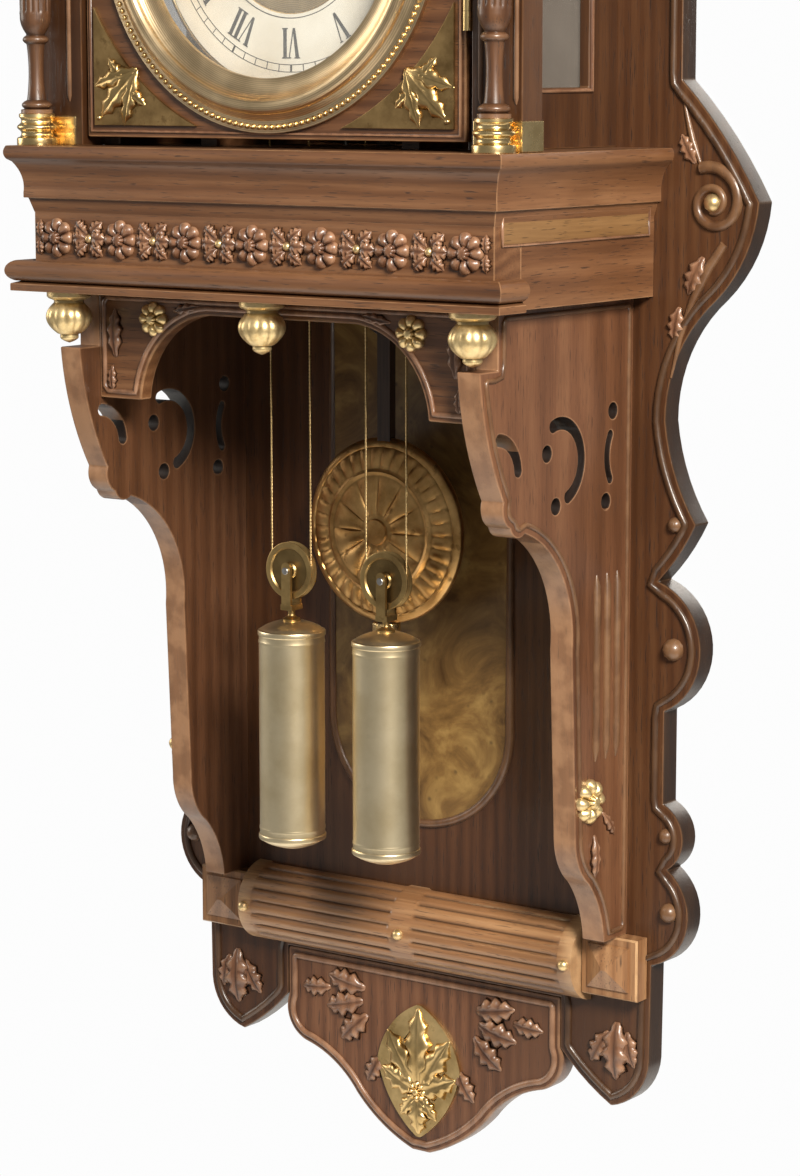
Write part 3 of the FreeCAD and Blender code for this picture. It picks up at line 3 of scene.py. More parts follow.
import bmesh
import bpy
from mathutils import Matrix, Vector


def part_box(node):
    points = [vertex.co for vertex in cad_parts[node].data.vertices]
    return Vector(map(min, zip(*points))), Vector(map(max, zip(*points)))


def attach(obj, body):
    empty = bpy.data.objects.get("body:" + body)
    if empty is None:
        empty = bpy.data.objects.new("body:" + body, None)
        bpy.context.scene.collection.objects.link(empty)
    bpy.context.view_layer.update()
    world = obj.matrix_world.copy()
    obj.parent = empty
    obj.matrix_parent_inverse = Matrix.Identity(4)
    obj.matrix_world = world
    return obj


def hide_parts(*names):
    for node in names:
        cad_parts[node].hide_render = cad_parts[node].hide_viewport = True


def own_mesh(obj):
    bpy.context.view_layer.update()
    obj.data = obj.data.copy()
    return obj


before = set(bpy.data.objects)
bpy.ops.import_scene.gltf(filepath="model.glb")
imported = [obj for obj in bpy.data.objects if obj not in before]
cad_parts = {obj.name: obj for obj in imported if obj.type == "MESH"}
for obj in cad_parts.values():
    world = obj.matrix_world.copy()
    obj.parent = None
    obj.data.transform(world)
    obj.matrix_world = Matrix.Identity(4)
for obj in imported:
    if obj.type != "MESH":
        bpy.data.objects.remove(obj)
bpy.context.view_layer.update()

# Backboard: one wide walnut board with a sawn, scrolled outline that carries the whole clock. Its
# front arris is rounded over, a bead is carved along it, and the board is stained and polished, with
# the sawn edges stained nearly black.
MM = 0.001


def lay(tree, kind, **given):
    """Add a shader node: small words are its settings, capital ones its sockets, linked or set."""
    made = tree.nodes.new("ShaderNode" + kind)
    for word, value in given.items():
        if word[0].islower():
            setattr(made, word, value)
        elif isinstance(value, bpy.types.NodeSocket):
            tree.links.new(value, made.inputs[word.replace("_", " ")])
        else:
            made.inputs[word.replace("_", " ")].default_value = value
    return made.outputs[0]


def feed(tree, sockets, values):
    """Link or set a row of sockets."""
    for socket, value in zip(sockets, values):
        if isinstance(value, bpy.types.NodeSocket):
            tree.links.new(value, socket)
        else:
            socket.default_value = (*value, 1.0) if isinstance(value, tuple) else value


def reckon(tree, operation, *terms):
    """A sum on sockets or numbers."""
    made = tree.nodes.new("ShaderNodeMath")
    made.operation = operation
    feed(tree, made.inputs, terms)
    return made.outputs[0]


def scaled(tree, factor, times, plus=0.0):
    """A factor times a number, with a number or another factor added."""
    return reckon(tree, "MULTIPLY_ADD", factor, times, plus)


def grey(tree, factor, low, high):
    """A factor stretched so that low becomes 0 and high becomes 1."""
    return lay(tree, "MapRange", Value=factor, From_Min=low, From_Max=high)


def tones(tree, factor, *stops):
    """Colours laid out along a factor: each stop is a place from 0 to 1 and a colour."""
    made = tree.nodes.new("ShaderNodeValToRGB")
    tree.links.new(factor, made.inputs["Fac"])
    marks = made.color_ramp.elements
    while len(marks) < len(stops):
        marks.new(0.5)
    for mark, (spot, colour) in zip(marks, stops):
        mark.position = spot
        mark.color = (*colour, 1.0)
    return made.outputs["Color"]


def mixed(tree, factor, first, second, way="MIX"):
    """Two colours mixed, or multiplied, by a factor."""
    made = tree.nodes.new("ShaderNodeMixRGB")
    made.blend_type = way
    feed(tree, made.inputs, (factor, first, second))
    return made.outputs[0]


def toned(tone, share):
    """A colour made darker or lighter by a share."""
    return tuple(part * share for part in tone)


def blank(name):
    """A new material: itself, its node tree, its shader and the place on the object."""
    material = bpy.data.materials.new(name)
    material.use_nodes = True
    tree = material.node_tree
    return material, tree, tree.nodes["Principled BSDF"], lay(tree, "TexCoord").node.outputs["Object"]


def surface(tree, shade, colour, rough, height, strength, deep):
    """Lead colour, roughness and a fine relief into a shader."""
    relief = lay(tree, "Bump", Strength=strength, Distance=deep, Height=height)
    feed(tree, [shade.inputs[word] for word in ("Base Color", "Roughness", "Normal")], (colour, rough, relief))


def walnut(name, along, dark, mid, light, carved=False, gloss=0.34):
    """Polished walnut with its grain along one axis, rubbed paler on its worn arrises, with painted shade in carved
    hollows.
    """
    material, tree, shade, here = blank(name)

    def drawn_out(share, shift=0.0):
        """The place on the object, drawn out along the grain."""
        scale = tuple(share if axis == along else 1.0 for axis in "XYZ")
        return lay(tree, "Mapping", Vector=here, Location=(shift, shift * 0.7, shift * 0.4), Scale=scale)

    rings = lay(tree, "TexWave", wave_type="RINGS", rings_direction=along, Vector=drawn_out(0.1, 0.37), Scale=34.0,
                Distortion=3.0, Detail=4.0, Detail_Scale=1.2, Detail_Roughness=0.6).node.outputs["Fac"]
    cloud = lay(tree, "TexNoise", Vector=drawn_out(0.25), Scale=9.0, Detail=4.0, Roughness=0.6)
    fibre = lay(tree, "TexNoise", Vector=drawn_out(0.03), Scale=520.0, Detail=3.0, Roughness=0.65)
    pores = lay(tree, "TexNoise", Vector=drawn_out(0.05), Scale=1300.0, Detail=1.0)
    figure = scaled(tree, rings, 0.16, scaled(tree, cloud, 0.84))
    colour = tones(tree, figure, (0.22, dark), (0.5, mid), (0.8, light))
    streaks = tones(tree, fibre, (0.3, (0.55, 0.5, 0.48)), (0.62, (1.0, 1.0, 1.0)))
    colour = mixed(tree, 0.55, colour, streaks, "MULTIPLY")
    pits = grey(tree, pores, 0.36, 0.3)
    colour = mixed(tree, scaled(tree, pits, 0.7), colour, toned(dark, 0.25))
    age = lay(tree, "TexNoise", Vector=here, Scale=5.0, Detail=3.0)
    colour = mixed(tree, grey(tree, age, 0.52, 0.75), colour, toned(mid, 0.6))
    if carved:
        # Painted shade: where carved, the hollows are darkened towards a deep brown.
        bend = lay(tree, "NewGeometry").node.outputs["Pointiness"]
        hollow_shade = grey(tree, bend, 0.5, 0.44)
        colour = mixed(tree, scaled(tree, hollow_shade, 0.75), colour, toned(dark, 0.3))
        rub = grey(tree, bend, 0.515, 0.56)
    else:
        # The rub attribute marks worn arrises; on the bracket fronts it also carries a painted highlight.
        rub = lay(tree, "Attribute", attribute_name="rub").node.outputs["Fac"]
    patchy = grey(tree, lay(tree, "TexNoise", Vector=here, Scale=60.0, Detail=4.0), 0.42, 0.6)
    worn = tuple(part * more for part, more in zip(light, (1.45, 1.65, 1.8)))
    colour = mixed(tree, reckon(tree, "MULTIPLY", rub, scaled(tree, patchy, 0.25, 0.25)), colour, worn)
    rough = scaled(tree, pits, 0.2, scaled(tree, cloud, 0.25, gloss - 0.1))
    height = reckon(tree, "SUBTRACT", scaled(tree, fibre, 0.5), pits)
    surface(tree, shade, colour, rough, height, 0.35, 0.0003)
    shade.inputs["Coat Weight"].default_value = 0.22
    shade.inputs["Coat Roughness"].default_value = 0.18
    return material


def skin(node, keep=None):
    """A CAD piece, or what is kept of it, as one clean skin of joined triangles and whole flat faces."""
    work = bmesh.new()
    work.from_mesh(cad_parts[node].data)
    if keep:
        bmesh.ops.delete(work, geom=[vert for vert in work.verts if not keep(vert.co / MM)], context="VERTS")
    bmesh.ops.remove_doubles(work, verts=work.verts, dist=2e-6)
    bmesh.ops.dissolve_limit(work, angle_limit=math.radians(0.4), verts=work.verts, edges=work.edges)
    return work


def settled(work, name, smooth=38.0):
    """Make a bmesh a mesh that is smooth up to an angle, with large faces kept flat."""
    for face in work.faces:
        face.smooth = True
    for edge in work.edges:
        edge.smooth = len(edge.link_faces) == 2 and edge.calc_face_angle(0.0) < math.radians(smooth)
    mesh = bpy.data.meshes.new(name)
    work.to_mesh(mesh)
    work.free()
    holder = bpy.data.objects.new("holder", mesh)
    bpy.context.scene.collection.objects.link(holder)
    even = holder.modifiers.new("Even shading", "WEIGHTED_NORMAL")
    even.keep_sharp = True
    even.weight = 60
    bpy.context.view_layer.update()
    plain = bpy.data.meshes.new_from_object(holder.evaluated_get(bpy.context.evaluated_depsgraph_get()))
    plain.name = name
    bpy.data.objects.remove(holder)
    return plain


def worked(node, ease, clamp=True, keep=None):
    """A CAD piece as the joiner or turner leaves it, its sharp edges eased by some millimetres."""
    work = skin(node, keep)
    rub = work.faces.layers.float.new("rub")
    edges = [edge for edge in work.edges
             if len(edge.link_faces) == 2 and edge.calc_face_angle(0.0) > math.radians(32.0)]
    made = bmesh.ops.bevel(work, geom=edges, offset=ease * MM, offset_type="OFFSET", segments=2, profile=0.5,
                           affect="EDGES", clamp_overlap=clamp)
    for face in made["faces"]:
        face[rub] = 1.0
    return settled(work, node)


def fit(name, mesh, finish, body, slot, *nodes):
    """Hang a finished mesh on its body, in place of the CAD nodes that it stands for."""
    if not mesh.materials:
        for each in finish if isinstance(finish, tuple) else (finish,):
            mesh.materials.append(each)
    piece = bpy.data.objects.new(name, mesh)
    bpy.context.scene.collection.objects.link(piece)
    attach(piece, body)
    if nodes:
        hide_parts(*nodes)
    return piece


def empty_tree(name, made, **inputs):
    """A geometry node tree with named inputs, each with its kind, and one output of what is made."""
    tree = bpy.data.node_groups.new(name, "GeometryNodeTree")
    for word, kind in inputs.items():
        tree.interface.new_socket(word, in_out="INPUT", socket_type="NodeSocket" + kind)
    tree.interface.new_socket(made, in_out="OUTPUT", socket_type="NodeSocketGeometry")
    return tree, tree.nodes.new("NodeGroupInput"), tree.nodes.new("NodeGroupOutput")


def strip_tree():
    """Node tree: a round strip drawn along the lines of a mesh, as thick as each point says."""
    tree, begin, end = empty_tree("Drawn strip", "Strip", Lines="Geometry", Sides="Int", Finish="Material")
    thick, curve, section, solid, smooth, real, paint = (tree.nodes.new("GeometryNode" + kind) for kind in (
        "InputNamedAttribute", "MeshToCurve", "CurvePrimitiveCircle", "CurveToMesh", "SetShadeSmooth",
        "RealizeInstances", "SetMaterial"))
    thick.data_type = "FLOAT"
    thick.inputs["Name"].default_value = "thick"
    section.inputs["Radius"].default_value = 1.0
    solid.inputs["Fill Caps"].default_value = True
    for start, stop in ((begin.outputs["Lines"], curve.inputs[0]), (curve.outputs[0], solid.inputs["Curve"]),
                        (thick.outputs["Attribute"], solid.inputs["Scale"]),
                        (begin.outputs["Sides"], section.inputs["Resolution"]),
                        (section.outputs[0], solid.inputs["Profile Curve"]), (solid.outputs[0], smooth.inputs[0]),
                        (smooth.outputs[0], real.inputs[0]), (real.outputs[0], paint.inputs["Geometry"]),
                        (begin.outputs["Finish"], paint.inputs["Material"]), (paint.outputs[0], end.inputs[0])):
        tree.links.new(start, stop)
    return tree


def grown(tree, seed, **wanted):
    """Run a node tree on a seed mesh and keep what it makes as a plain mesh."""
    holder = bpy.data.objects.new("holder", seed)
    bpy.context.scene.collection.objects.link(holder)
    growth = holder.modifiers.new("Growth", "NODES")
    growth.node_group = tree
    for item in tree.interface.items_tree:
        if item.in_out == "INPUT" and item.name in wanted:
            growth[item.identifier] = wanted[item.name]
    bpy.context.view_layer.update()
    mesh = bpy.data.meshes.new_from_object(holder.evaluated_get(bpy.context.evaluated_depsgraph_get()))
    bpy.data.objects.remove(holder)
    return mesh


def strokes(lines):
    """Lines as a seed mesh: each point is x, y, z and the strip's half thickness there, in mm."""
    points, edges, thick = [], [], []
    for line in lines:
        first, closing = len(points), line[0][:3] == line[-1][:3]
        run = line[:-1] if closing else line
        for x, y, z, half in run:
            points.append((x * MM, y * MM, z * MM))
            thick.append(half * MM)
        edges += [(first + step, first + step + 1) for step in range(len(run) - 1)]
        if closing:
            edges.append((first + len(run) - 1, first))
    mesh = bpy.data.meshes.new("strokes")
    mesh.from_pydata(points, edges, [])
    mesh.attributes.new("thick", "FLOAT", "POINT").data.foreach_set("value", thick)
    return mesh


def trim(name, lines, finish, body, slot, *nodes, sides=10):
    """Fit round strips, such as beads and reeds, along lines."""
    return fit(name, grown(strip, strokes(lines), Sides=sides, Finish=finish), finish, body, slot, *nodes)


def outline(node, axis, level):
    """The tallest edge line round a flat face of a CAD piece, as points of the other two axes in mm."""
    work = skin(node)
    others = [index for index in range(3) if index != axis]
    rim = {}
    for edge in work.edges:
        if len(edge.link_faces) == 2 and all(abs(vert.co[axis] / MM - level) < 0.01 for vert in edge.verts):
            if sorted(abs(face.normal[axis]) > 0.9 for face in edge.link_faces) == [False, True]:
                for vert in edge.verts:
                    rim.setdefault(vert, []).append(edge)
    loops = []
    while rim:
        vert = next(iter(rim))
        loop = []
        while vert in rim:
            loop.append((vert.co[others[0]] / MM, vert.co[others[1]] / MM))
            ahead = [edge.other_vert(vert) for edge in rim.pop(vert)]
            vert = next((other for other in ahead if other in rim), None)
        loops.append(loop)
    work.free()
    return max(loops, key=lambda loop: max(v for u, v in loop) - min(v for u, v in loop))


def inset(loop, by):
    """A line a set distance inside a closed outline; places too narrow for it are left out."""
    dense = []
    for index, (x, z) in enumerate(loop):
        u, w = loop[(index + 1) % len(loop)]
        parts = max(1, int(math.hypot(u - x, w - z) / 4.0))
        dense += [(x + (u - x) * part / parts, z + (w - z) * part / parts) for part in range(parts)]
    twice = sum(x * dense[index - 1][1] - dense[index - 1][0] * z for index, (x, z) in enumerate(dense))
    side = 1.0 if twice < 0 else -1.0
    kept = []
    for index, (x, z) in enumerate(dense):
        u, w = dense[index - 1]
        p, q = dense[(index + 1) % len(dense)]
        long = math.hypot(p - u, q - w)
        spot = (x - side * (q - w) / long * by, z + side * (p - u) / long * by)
        if all(math.hypot(spot[0] - a, spot[1] - b) > by * 0.96 for a, b in dense):
            kept.append(spot)
    return kept


def edge_line(node, axis, level, by, half):
    """A closed line a set distance inside the edge of a CAD board's flat face, for a bead."""
    rim = [(level, u, v, half) if axis == 0 else (u, level, v, half) for u, v in inset(outline(node, axis, level), by)]
    return rim + rim[:1]


strip = strip_tree()
board_walnut = walnut("board_walnut", "Z", (0.033, 0.011, 0.0035), (0.074, 0.028, 0.01), (0.12, 0.053, 0.021))
edge_stain = walnut("edge_stain", "Z", (0.01, 0.004, 0.002), (0.024, 0.01, 0.004), (0.045, 0.021, 0.009))
bead_stain = walnut("bead_stain", "Z", (0.014, 0.006, 0.002), (0.04, 0.016, 0.006), (0.085, 0.038, 0.016), True)
board_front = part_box("backboard")[0].y / MM
board = worked("backboard", 2.5)
for face in board.polygons:
    face.material_index = 1 if abs(face.normal.y) < 0.8 else 0
fit("backboard_scrolled", board, (board_walnut, edge_stain), "case", "walnut", "backboard")
trim("backboard_edge_bead", [edge_line("backboard", 1, board_front, 7.0, 2.6)], bead_stain, "case", "walnut")


# Carving on the backboard: each ear has a volute with a gilt pearl in its eye and a trailing stem with
# leaves; the lobes carry small bosses and each corner drop a leaf. Cut from walnut and glued on.
def acanthus():
    """One carved leaf of unit length: foot at the origin, tip along +Z, back on the X-Z plane."""
    long, half, lobes = 16, 4, 4
    work = bmesh.new()
    rows = []
    for step in range(long + 1):
        u = step / long
        lobe = math.cos(2 * math.pi * lobes * u)
        wide = 0.27 * math.sin(math.pi * min(0.995, u * 0.97 + 0.02) ** 0.85) ** 0.8 * (1.0 + 0.24 * lobe)
        row = []
        for place in range(-half, half + 1):
            v = place / half
            rise = 0.17 * math.sin(math.pi * u ** 0.9) ** 0.7 * (1.0 - v * v) ** 0.55
            rise *= 1.0 - 0.42 * math.exp(-(v / 0.16) ** 2) + 0.2 * abs(v) * lobe
            rise = max(0.02 * (1.0 - v * v), rise)
            row.append(work.verts.new((wide * v, -rise, u + 0.09 * abs(v) ** 1.5 * math.sin(math.pi * u))))
        rows.append(row)
    for low, high in zip(rows, rows[1:]):
        for place in range(2 * half):
            work.faces.new((low[place], low[place + 1], high[place + 1], high[place]))
        work.faces.new((high[0], high[-1], low[-1], low[0]))
    work.faces.new(reversed(rows[0]))
    work.faces.new(rows[-1])
    return settled(work, "acanthus", 60.0)


def pearl():
    """A round bead of unit radius."""
    work = bmesh.new()
    bmesh.ops.create_icosphere(work, subdivisions=2, radius=1.0)
    return settled(work, "pearl", 80.0)


def copies_tree():
    """Node tree: copies of one shape set out on the points of a mesh, each turned and sized."""
    tree, begin, end = empty_tree("Set out copies", "Copies", Places="Geometry", Shape="Object", Finish="Material")
    lean, size, shape, put, real, paint = (tree.nodes.new("GeometryNode" + kind) for kind in (
        "InputNamedAttribute", "InputNamedAttribute", "ObjectInfo", "InstanceOnPoints", "RealizeInstances",
        "SetMaterial"))
    turn = tree.nodes.new("FunctionNodeEulerToRotation")
    for mark, word in ((lean, "turn"), (size, "size")):
        mark.data_type = "FLOAT_VECTOR"
        mark.inputs["Name"].default_value = word
    for start, stop in ((begin.outputs["Places"], put.inputs["Points"]), (begin.outputs["Shape"], shape.inputs[0]),
                        (shape.outputs["Geometry"], put.inputs["Instance"]),
                        (lean.outputs["Attribute"], turn.inputs[0]), (turn.outputs[0], put.inputs["Rotation"]),
                        (size.outputs["Attribute"], put.inputs["Scale"]), (put.outputs[0], real.inputs[0]),
                        (real.outputs[0], paint.inputs["Geometry"]),
                        (begin.outputs["Finish"], paint.inputs["Material"]), (paint.outputs[0], end.inputs[0])):
        tree.links.new(start, stop)
    return tree


def dress(name, shape, places, finish, body, slot, *nodes):
    """Fit copies of a shape: each place is x, y, z, size or (wide, rise, long) in mm, then turns about Y and Z."""
    seed = bpy.data.meshes.new("places")
    seed.from_pydata([(x * MM, y * MM, z * MM) for x, y, z, *rest in places], [], [])
    turns, sizes = [], []
    for x, y, z, size, *turn in places:
        lean, swing = (list(turn) + [0.0, 0.0])[:2]
        turns += [0.0, math.radians(lean), math.radians(swing)]
        sizes += [part * MM for part in (size if isinstance(size, tuple) else (size, size, size))]
    seed.attributes.new("turn", "FLOAT_VECTOR", "POINT").data.foreach_set("vector", turns)
    seed.attributes.new("size", "FLOAT_VECTOR", "POINT").data.foreach_set("vector", sizes)
    stock = bpy.data.objects.new("stock", shape)
    bpy.context.scene.collection.objects.link(stock)
    mesh = grown(copies, seed, Shape=stock, Finish=finish)
    bpy.data.objects.remove(stock)
    return fit(name, mesh, finish, body, slot, *nodes)


def against(y, places):
    """Places or points given by x, z and what follows, set on a flat face at y."""
    return [(x, y, z, *rest) for x, z, *rest in places]


def pair(places):
    """Places on the right and the same on the left."""
    return places + [(-x, y, z, size, *(-turn for turn in turns)) for x, y, z, size, *turns in places]


def both(lines):
    """Lines on the right and the same on the left."""
    return lines + [[(-x, y, z, half) for x, y, z, half in line] for line in lines]


def gilding(name, gold, deep, bole):
    """Leaf gold on carved wood: dull in the hollows, with red bole where it is rubbed."""
    material, tree, shade, here = blank(name)
    patch = lay(tree, "TexNoise", Vector=here, Scale=160.0, Detail=5.0, Roughness=0.65)
    grain = lay(tree, "TexNoise", Vector=here, Scale=900.0, Detail=2.0)
    bend = lay(tree, "NewGeometry").node.outputs["Pointiness"]
    colour = tones(tree, patch, (0.3, deep), (0.6, gold))
    colour = mixed(tree, scaled(tree, grey(tree, bend, 0.5, 0.43), 0.8), colour, toned(deep, 0.35))
    rubbed = reckon(tree, "MULTIPLY", grey(tree, bend, 0.53, 0.58), grey(tree, patch, 0.5, 0.62))
    colour = mixed(tree, scaled(tree, rubbed, 0.45), colour, bole)
    surface(tree, shade, colour, scaled(tree, patch, 0.3, 0.22), grain, 0.25, 0.0003)
    shade.inputs["Metallic"].default_value = 0.85
    return material


def volute(x, y, z, wide, eye, start, turns, thick):
    """A spiral stroke from its wide end to its eye, clockwise from an angle in degrees."""
    line = []
    parts = int(abs(turns) * 26)
    for part in range(parts + 1):
        share = part / parts
        angle = math.radians(start - 360.0 * turns * share)
        reach = wide * (eye / wide) ** share
        line.append((x + reach * math.cos(angle), y, z + reach * math.sin(angle), thick * (1.0 - 0.45 * share)))
    return line


copies = copies_tree()
leaf, bead = acanthus(), pearl()
# The carving's walnut is paler than the boards it sits on: partly its own tone, partly a painted highlight so the
# carving reads bright.
carved_walnut = walnut("carved_walnut", "Z", (0.05, 0.018, 0.009), (0.16, 0.07, 0.034), (0.3, 0.15, 0.08), True)
board_carving = walnut("board_carving", "Z", (0.026, 0.009, 0.0035), (0.082, 0.033, 0.013), (0.165, 0.078, 0.034), True)
gilt = gilding("worn_gilding", (0.86, 0.66, 0.34), (0.56, 0.39, 0.17), (0.33, 0.1, 0.05))
ear_x, ear_z = 238, -356
stems = [volute(ear_x, board_front, ear_z, 25, 6, 112, 1.6, 4.2),
         against(board_front, [(229, -333, 1.0), (222, -316, 2.4), (217, -298, 1.6), (214, -284, 0.8)]),
         against(board_front, [(247, -383, 3.0), (236, -398, 3.4), (224, -420, 2.8), (214, -446, 2.0),
                               (207, -474, 0.8)])]
trim("ear_scrolls", both(stems), board_carving, "case", "walnut", sides=12)
leaves = against(board_front, [(231, -392, 28, 204), (213, -426, 24, 190), (224, -330, 22, -30), (170, -930, 42, 181),
                               (163, -938, 28, 212), (178, -936, 26, 166)])
dress("backboard_leaves", leaf, pair(leaves), carved_walnut, "case", "walnut")
bosses = against(board_front, [(212, -574, 5.5), (212, -660, 8.0), (208, -791, 5.5), (211, -845, 7.0)])
dress("backboard_bosses", bead, pair(bosses), board_carving, "case", "walnut")
dress("ear_pearls", bead, pair([(ear_x, board_front, ear_z, 6.5)]), gilt, "case", "brass")


# Trunk panel: a tongue of golden burr veneer, round at its foot, laid on the backboard behind the
# pendulum, with a half-round moulding pinned along its edge.
def burr(name, dark, mid, light):
    """Burr veneer: swirled figure with small dark eyes under a warm polish."""
    material, tree, shade, here = blank(name)
    swirl = lay(tree, "TexNoise", Vector=here, Scale=16.0, Detail=7.0, Roughness=0.62, Distortion=2.6)
    eyes = lay(tree, "TexVoronoi", Vector=here, Scale=90.0, Randomness=1.0)
    cloud = lay(tree, "TexNoise", Vector=here, Scale=5.0, Detail=2.0)
    colour = tones(tree, swirl, (0.3, dark), (0.5, mid), (0.68, light))
    knots = reckon(tree, "MULTIPLY", grey(tree, eyes, 0.22, 0.05), grey(tree, swirl, 0.48, 0.6))
    colour = mixed(tree, scaled(tree, knots, 0.8), colour, toned(dark, 0.3))
    colour = mixed(tree, grey(tree, cloud, 0.5, 0.8), colour, dark)
    surface(tree, shade, colour, scaled(tree, swirl, 0.2, 0.26), swirl, 0.15, 0.0003)
    shade.inputs["Coat Weight"].default_value = 0.3
    shade.inputs["Coat Roughness"].default_value = 0.2
    return material


def hoops(work, rows, ends=False):
    """Faces between closed rows of points, one row after the other, and over both ends if asked."""
    for low, high in zip(rows, rows[1:]):
        for step in range(len(low)):
            work.faces.new((low[step - 1], low[step], high[step], high[step - 1]))
    if ends:
        work.faces.new(rows[0])
        work.faces.new(rows[-1])


def closed(work, name, smooth=38.0):
    """Turn the faces of a closed bmesh outwards and make it a mesh."""
    bmesh.ops.recalc_face_normals(work, faces=work.faces)
    return settled(work, name, smooth)


def plate(edge, front, rear):
    """A flat plate cut to a closed outline of x and z points, between two levels of y, in mm."""
    work = bmesh.new()
    hoops(work, [[work.verts.new((x * MM, y * MM, z * MM)) for x, z in edge] for y in (front, rear)], ends=True)
    return closed(work, "plate")


golden_burr = burr("golden_burr", (0.066, 0.031, 0.008), (0.165, 0.089, 0.025), (0.28, 0.172, 0.053))
panel_half, panel_foot, panel_high, panel_round, round_steps = 78, -735, -440, 74, 40
edge = [(panel_half, panel_high)]
for step in range(round_steps + 1):
    angle = math.pi * step / round_steps
    edge.append((panel_half * math.cos(angle), panel_foot - panel_round * math.sin(angle)))
edge.append((-panel_half, panel_high))
fit("trunk_panel", plate(edge, board_front - 1.2, board_front + 1.0), golden_burr, "case", "walnut")
trim("trunk_panel_moulding", [[(x, board_front - 0.4, z, 3.2) for x, z in edge + edge[:1]]], board_carving, "case",
     "walnut", sides=12)


# Hanger plate: a small plate of pressed steel with a round hole for the wall hook, let flush into the
# back of the board near its top.
def steel(name, bright, dull, rough):
    """Plain steel with fine scratches, thin oil film and a little dark age."""
    material, tree, shade, here = blank(name)
    film = lay(tree, "TexNoise", Vector=here, Scale=45.0, Detail=4.0)
    drawn = lay(tree, "Mapping", Vector=here, Scale=(1.0, 0.06, 0.3))
    scratch = lay(tree, "TexNoise", Vector=drawn, Scale=1500.0, Detail=2.0)
    colour = tones(tree, film, (0.32, dull), (0.66, bright))
    surface(tree, shade, colour, scaled(tree, film, 0.25, rough), scratch, 0.12, 0.0002)
    shade.inputs["Metallic"].default_value = 1.0
    return material


def coat(finish, *nodes):
    """Give CAD pieces whose shape is right their finish."""
    for node in nodes:
        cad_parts[node].material_slots[0].material = finish


plain_steel = steel("plain_steel", (0.46, 0.45, 0.44), (0.2, 0.19, 0.18), 0.22)
coat(plain_steel, "hanger_plate")


# Side brackets: two sawn walnut boards with fretted scrolls, tenoned into the backboard, that carry
# the hood. A bead is scratched round the outer face and three reeds run down the narrow trunk. The
# inner faces are darkened as painted shade, the fret walls are near black as painted shadow, and the
# front faces are painted paler as a painted highlight.
def flower(petals):
    """A carved flower of unit radius: its back on the X-Z plane, its face towards -Y."""
    rings, steps, heart = 14, petals * 8, 0.3
    work = bmesh.new()
    rows = []
    for ring in range(1, rings + 1):
        reach = ring / rings
        row = []
        for step in range(steps):
            angle = 2.0 * math.pi * step / steps
            lobe = abs(math.cos(petals * angle / 2.0))
            if reach < heart:
                rise = 0.36 + 0.14 * math.sqrt(1.0 - (reach / 0.31) ** 2)
            else:
                share = (reach - heart) / (1.0 - heart)
                rise = 0.1 + 0.3 * math.sin(math.pi * (0.1 + 0.86 * share)) ** 0.8 * (0.3 + 0.7 * lobe ** 0.7)
            out = reach * (0.82 + 0.18 * lobe ** 0.6)
            row.append(work.verts.new((out * math.cos(angle), -rise, out * math.sin(angle))))
        rows.append(row)
    rows.append([work.verts.new((vert.co.x, 0.0, vert.co.z)) for vert in rows[-1]])
    hoops(work, rows, ends=True)
    return closed(work, "flower", 50.0)


case_walnut = walnut("case_walnut", "Z", (0.06, 0.022, 0.009), (0.14, 0.058, 0.026), (0.22, 0.105, 0.05))
fret_painted_shadow = walnut("fret_painted_shadow", "Z", (0.006, 0.003, 0.002), (0.014, 0.006, 0.003), (0.03, 0.013, 0.006), gloss=0.55)
# The bracket inner faces take the case walnut darkened to seven tenths, as painted shade.
inner_face_shade = walnut("inner_face_shade", "Z", (0.042, 0.016, 0.0065), (0.1, 0.042, 0.019), (0.158, 0.076, 0.036))
bracket_out = 177.0
fret_front, fret_rear, fret_foot, fret_high = -158, -20, -562, -480
for side, way in (("right", 1), ("left", -1)):
    node = side + "_side_bracket"
    mesh = worked(node, 1.0, clamp=False)
    front_highlight = mesh.attributes["rub"].data
    for face in mesh.polygons:
        y, z = face.center.y / MM, face.center.z / MM
        # Fret walls: a near-black finish as painted shadow inside the holes.
        if abs(face.normal.x) < 0.5 and fret_front < y < fret_rear and fret_foot < z < fret_high:
            face.material_index = 1
        # Inner faces: painted shade.
        elif face.normal.x * way < -0.9:
            face.material_index = 2
        # Front-facing faces: rub raised to 1.6, a painted highlight on the bracket fronts.
        elif face.normal.y < -0.5:
            front_highlight[face.index].value = 1.6
    fit(side + "_bracket_fretted", mesh, (case_walnut, fret_painted_shadow, inner_face_shade), "case", "walnut", node)
rims = both([edge_line("right_side_bracket", 0, bracket_out, 6.0, 1.8)])
trim("bracket_beads", rims, board_carving, "case", "walnut")
reeds = [[(bracket_out, y, z, half) for z, half in ((-606, 0.6), (-614, 3.0), (-726, 3.0), (-735, 0.6))]
         for y in (-36, -49, -62)]
trim("bracket_reeds", both(reeds), board_carving, "case", "walnut", sides=14)
sprigs = [(bracket_out, -62, -786, (18, 24, 32), 180, 90), (bracket_out, -52, -772, (14, 20, 24), 140, 90)]
dress("bracket_leaves", leaf, pair(sprigs), carved_walnut, "case", "walnut")

# Rosettes: turned and carved walnut flowers glued on, a gilt one low on each bracket and a large plain
# one on the crest above the dial.
bloom = flower(8)
dress("bracket_rosettes", bloom, pair([(bracket_out, -70, -761, (15.5, 17, 15.5), 0, 90)]), gilt, "case", "brass")
dress("crest_rosette", flower(10), [(0, -193, 101.2, (30, 25, 30))], carved_walnut, "case", "walnut", "carved_rosettes")

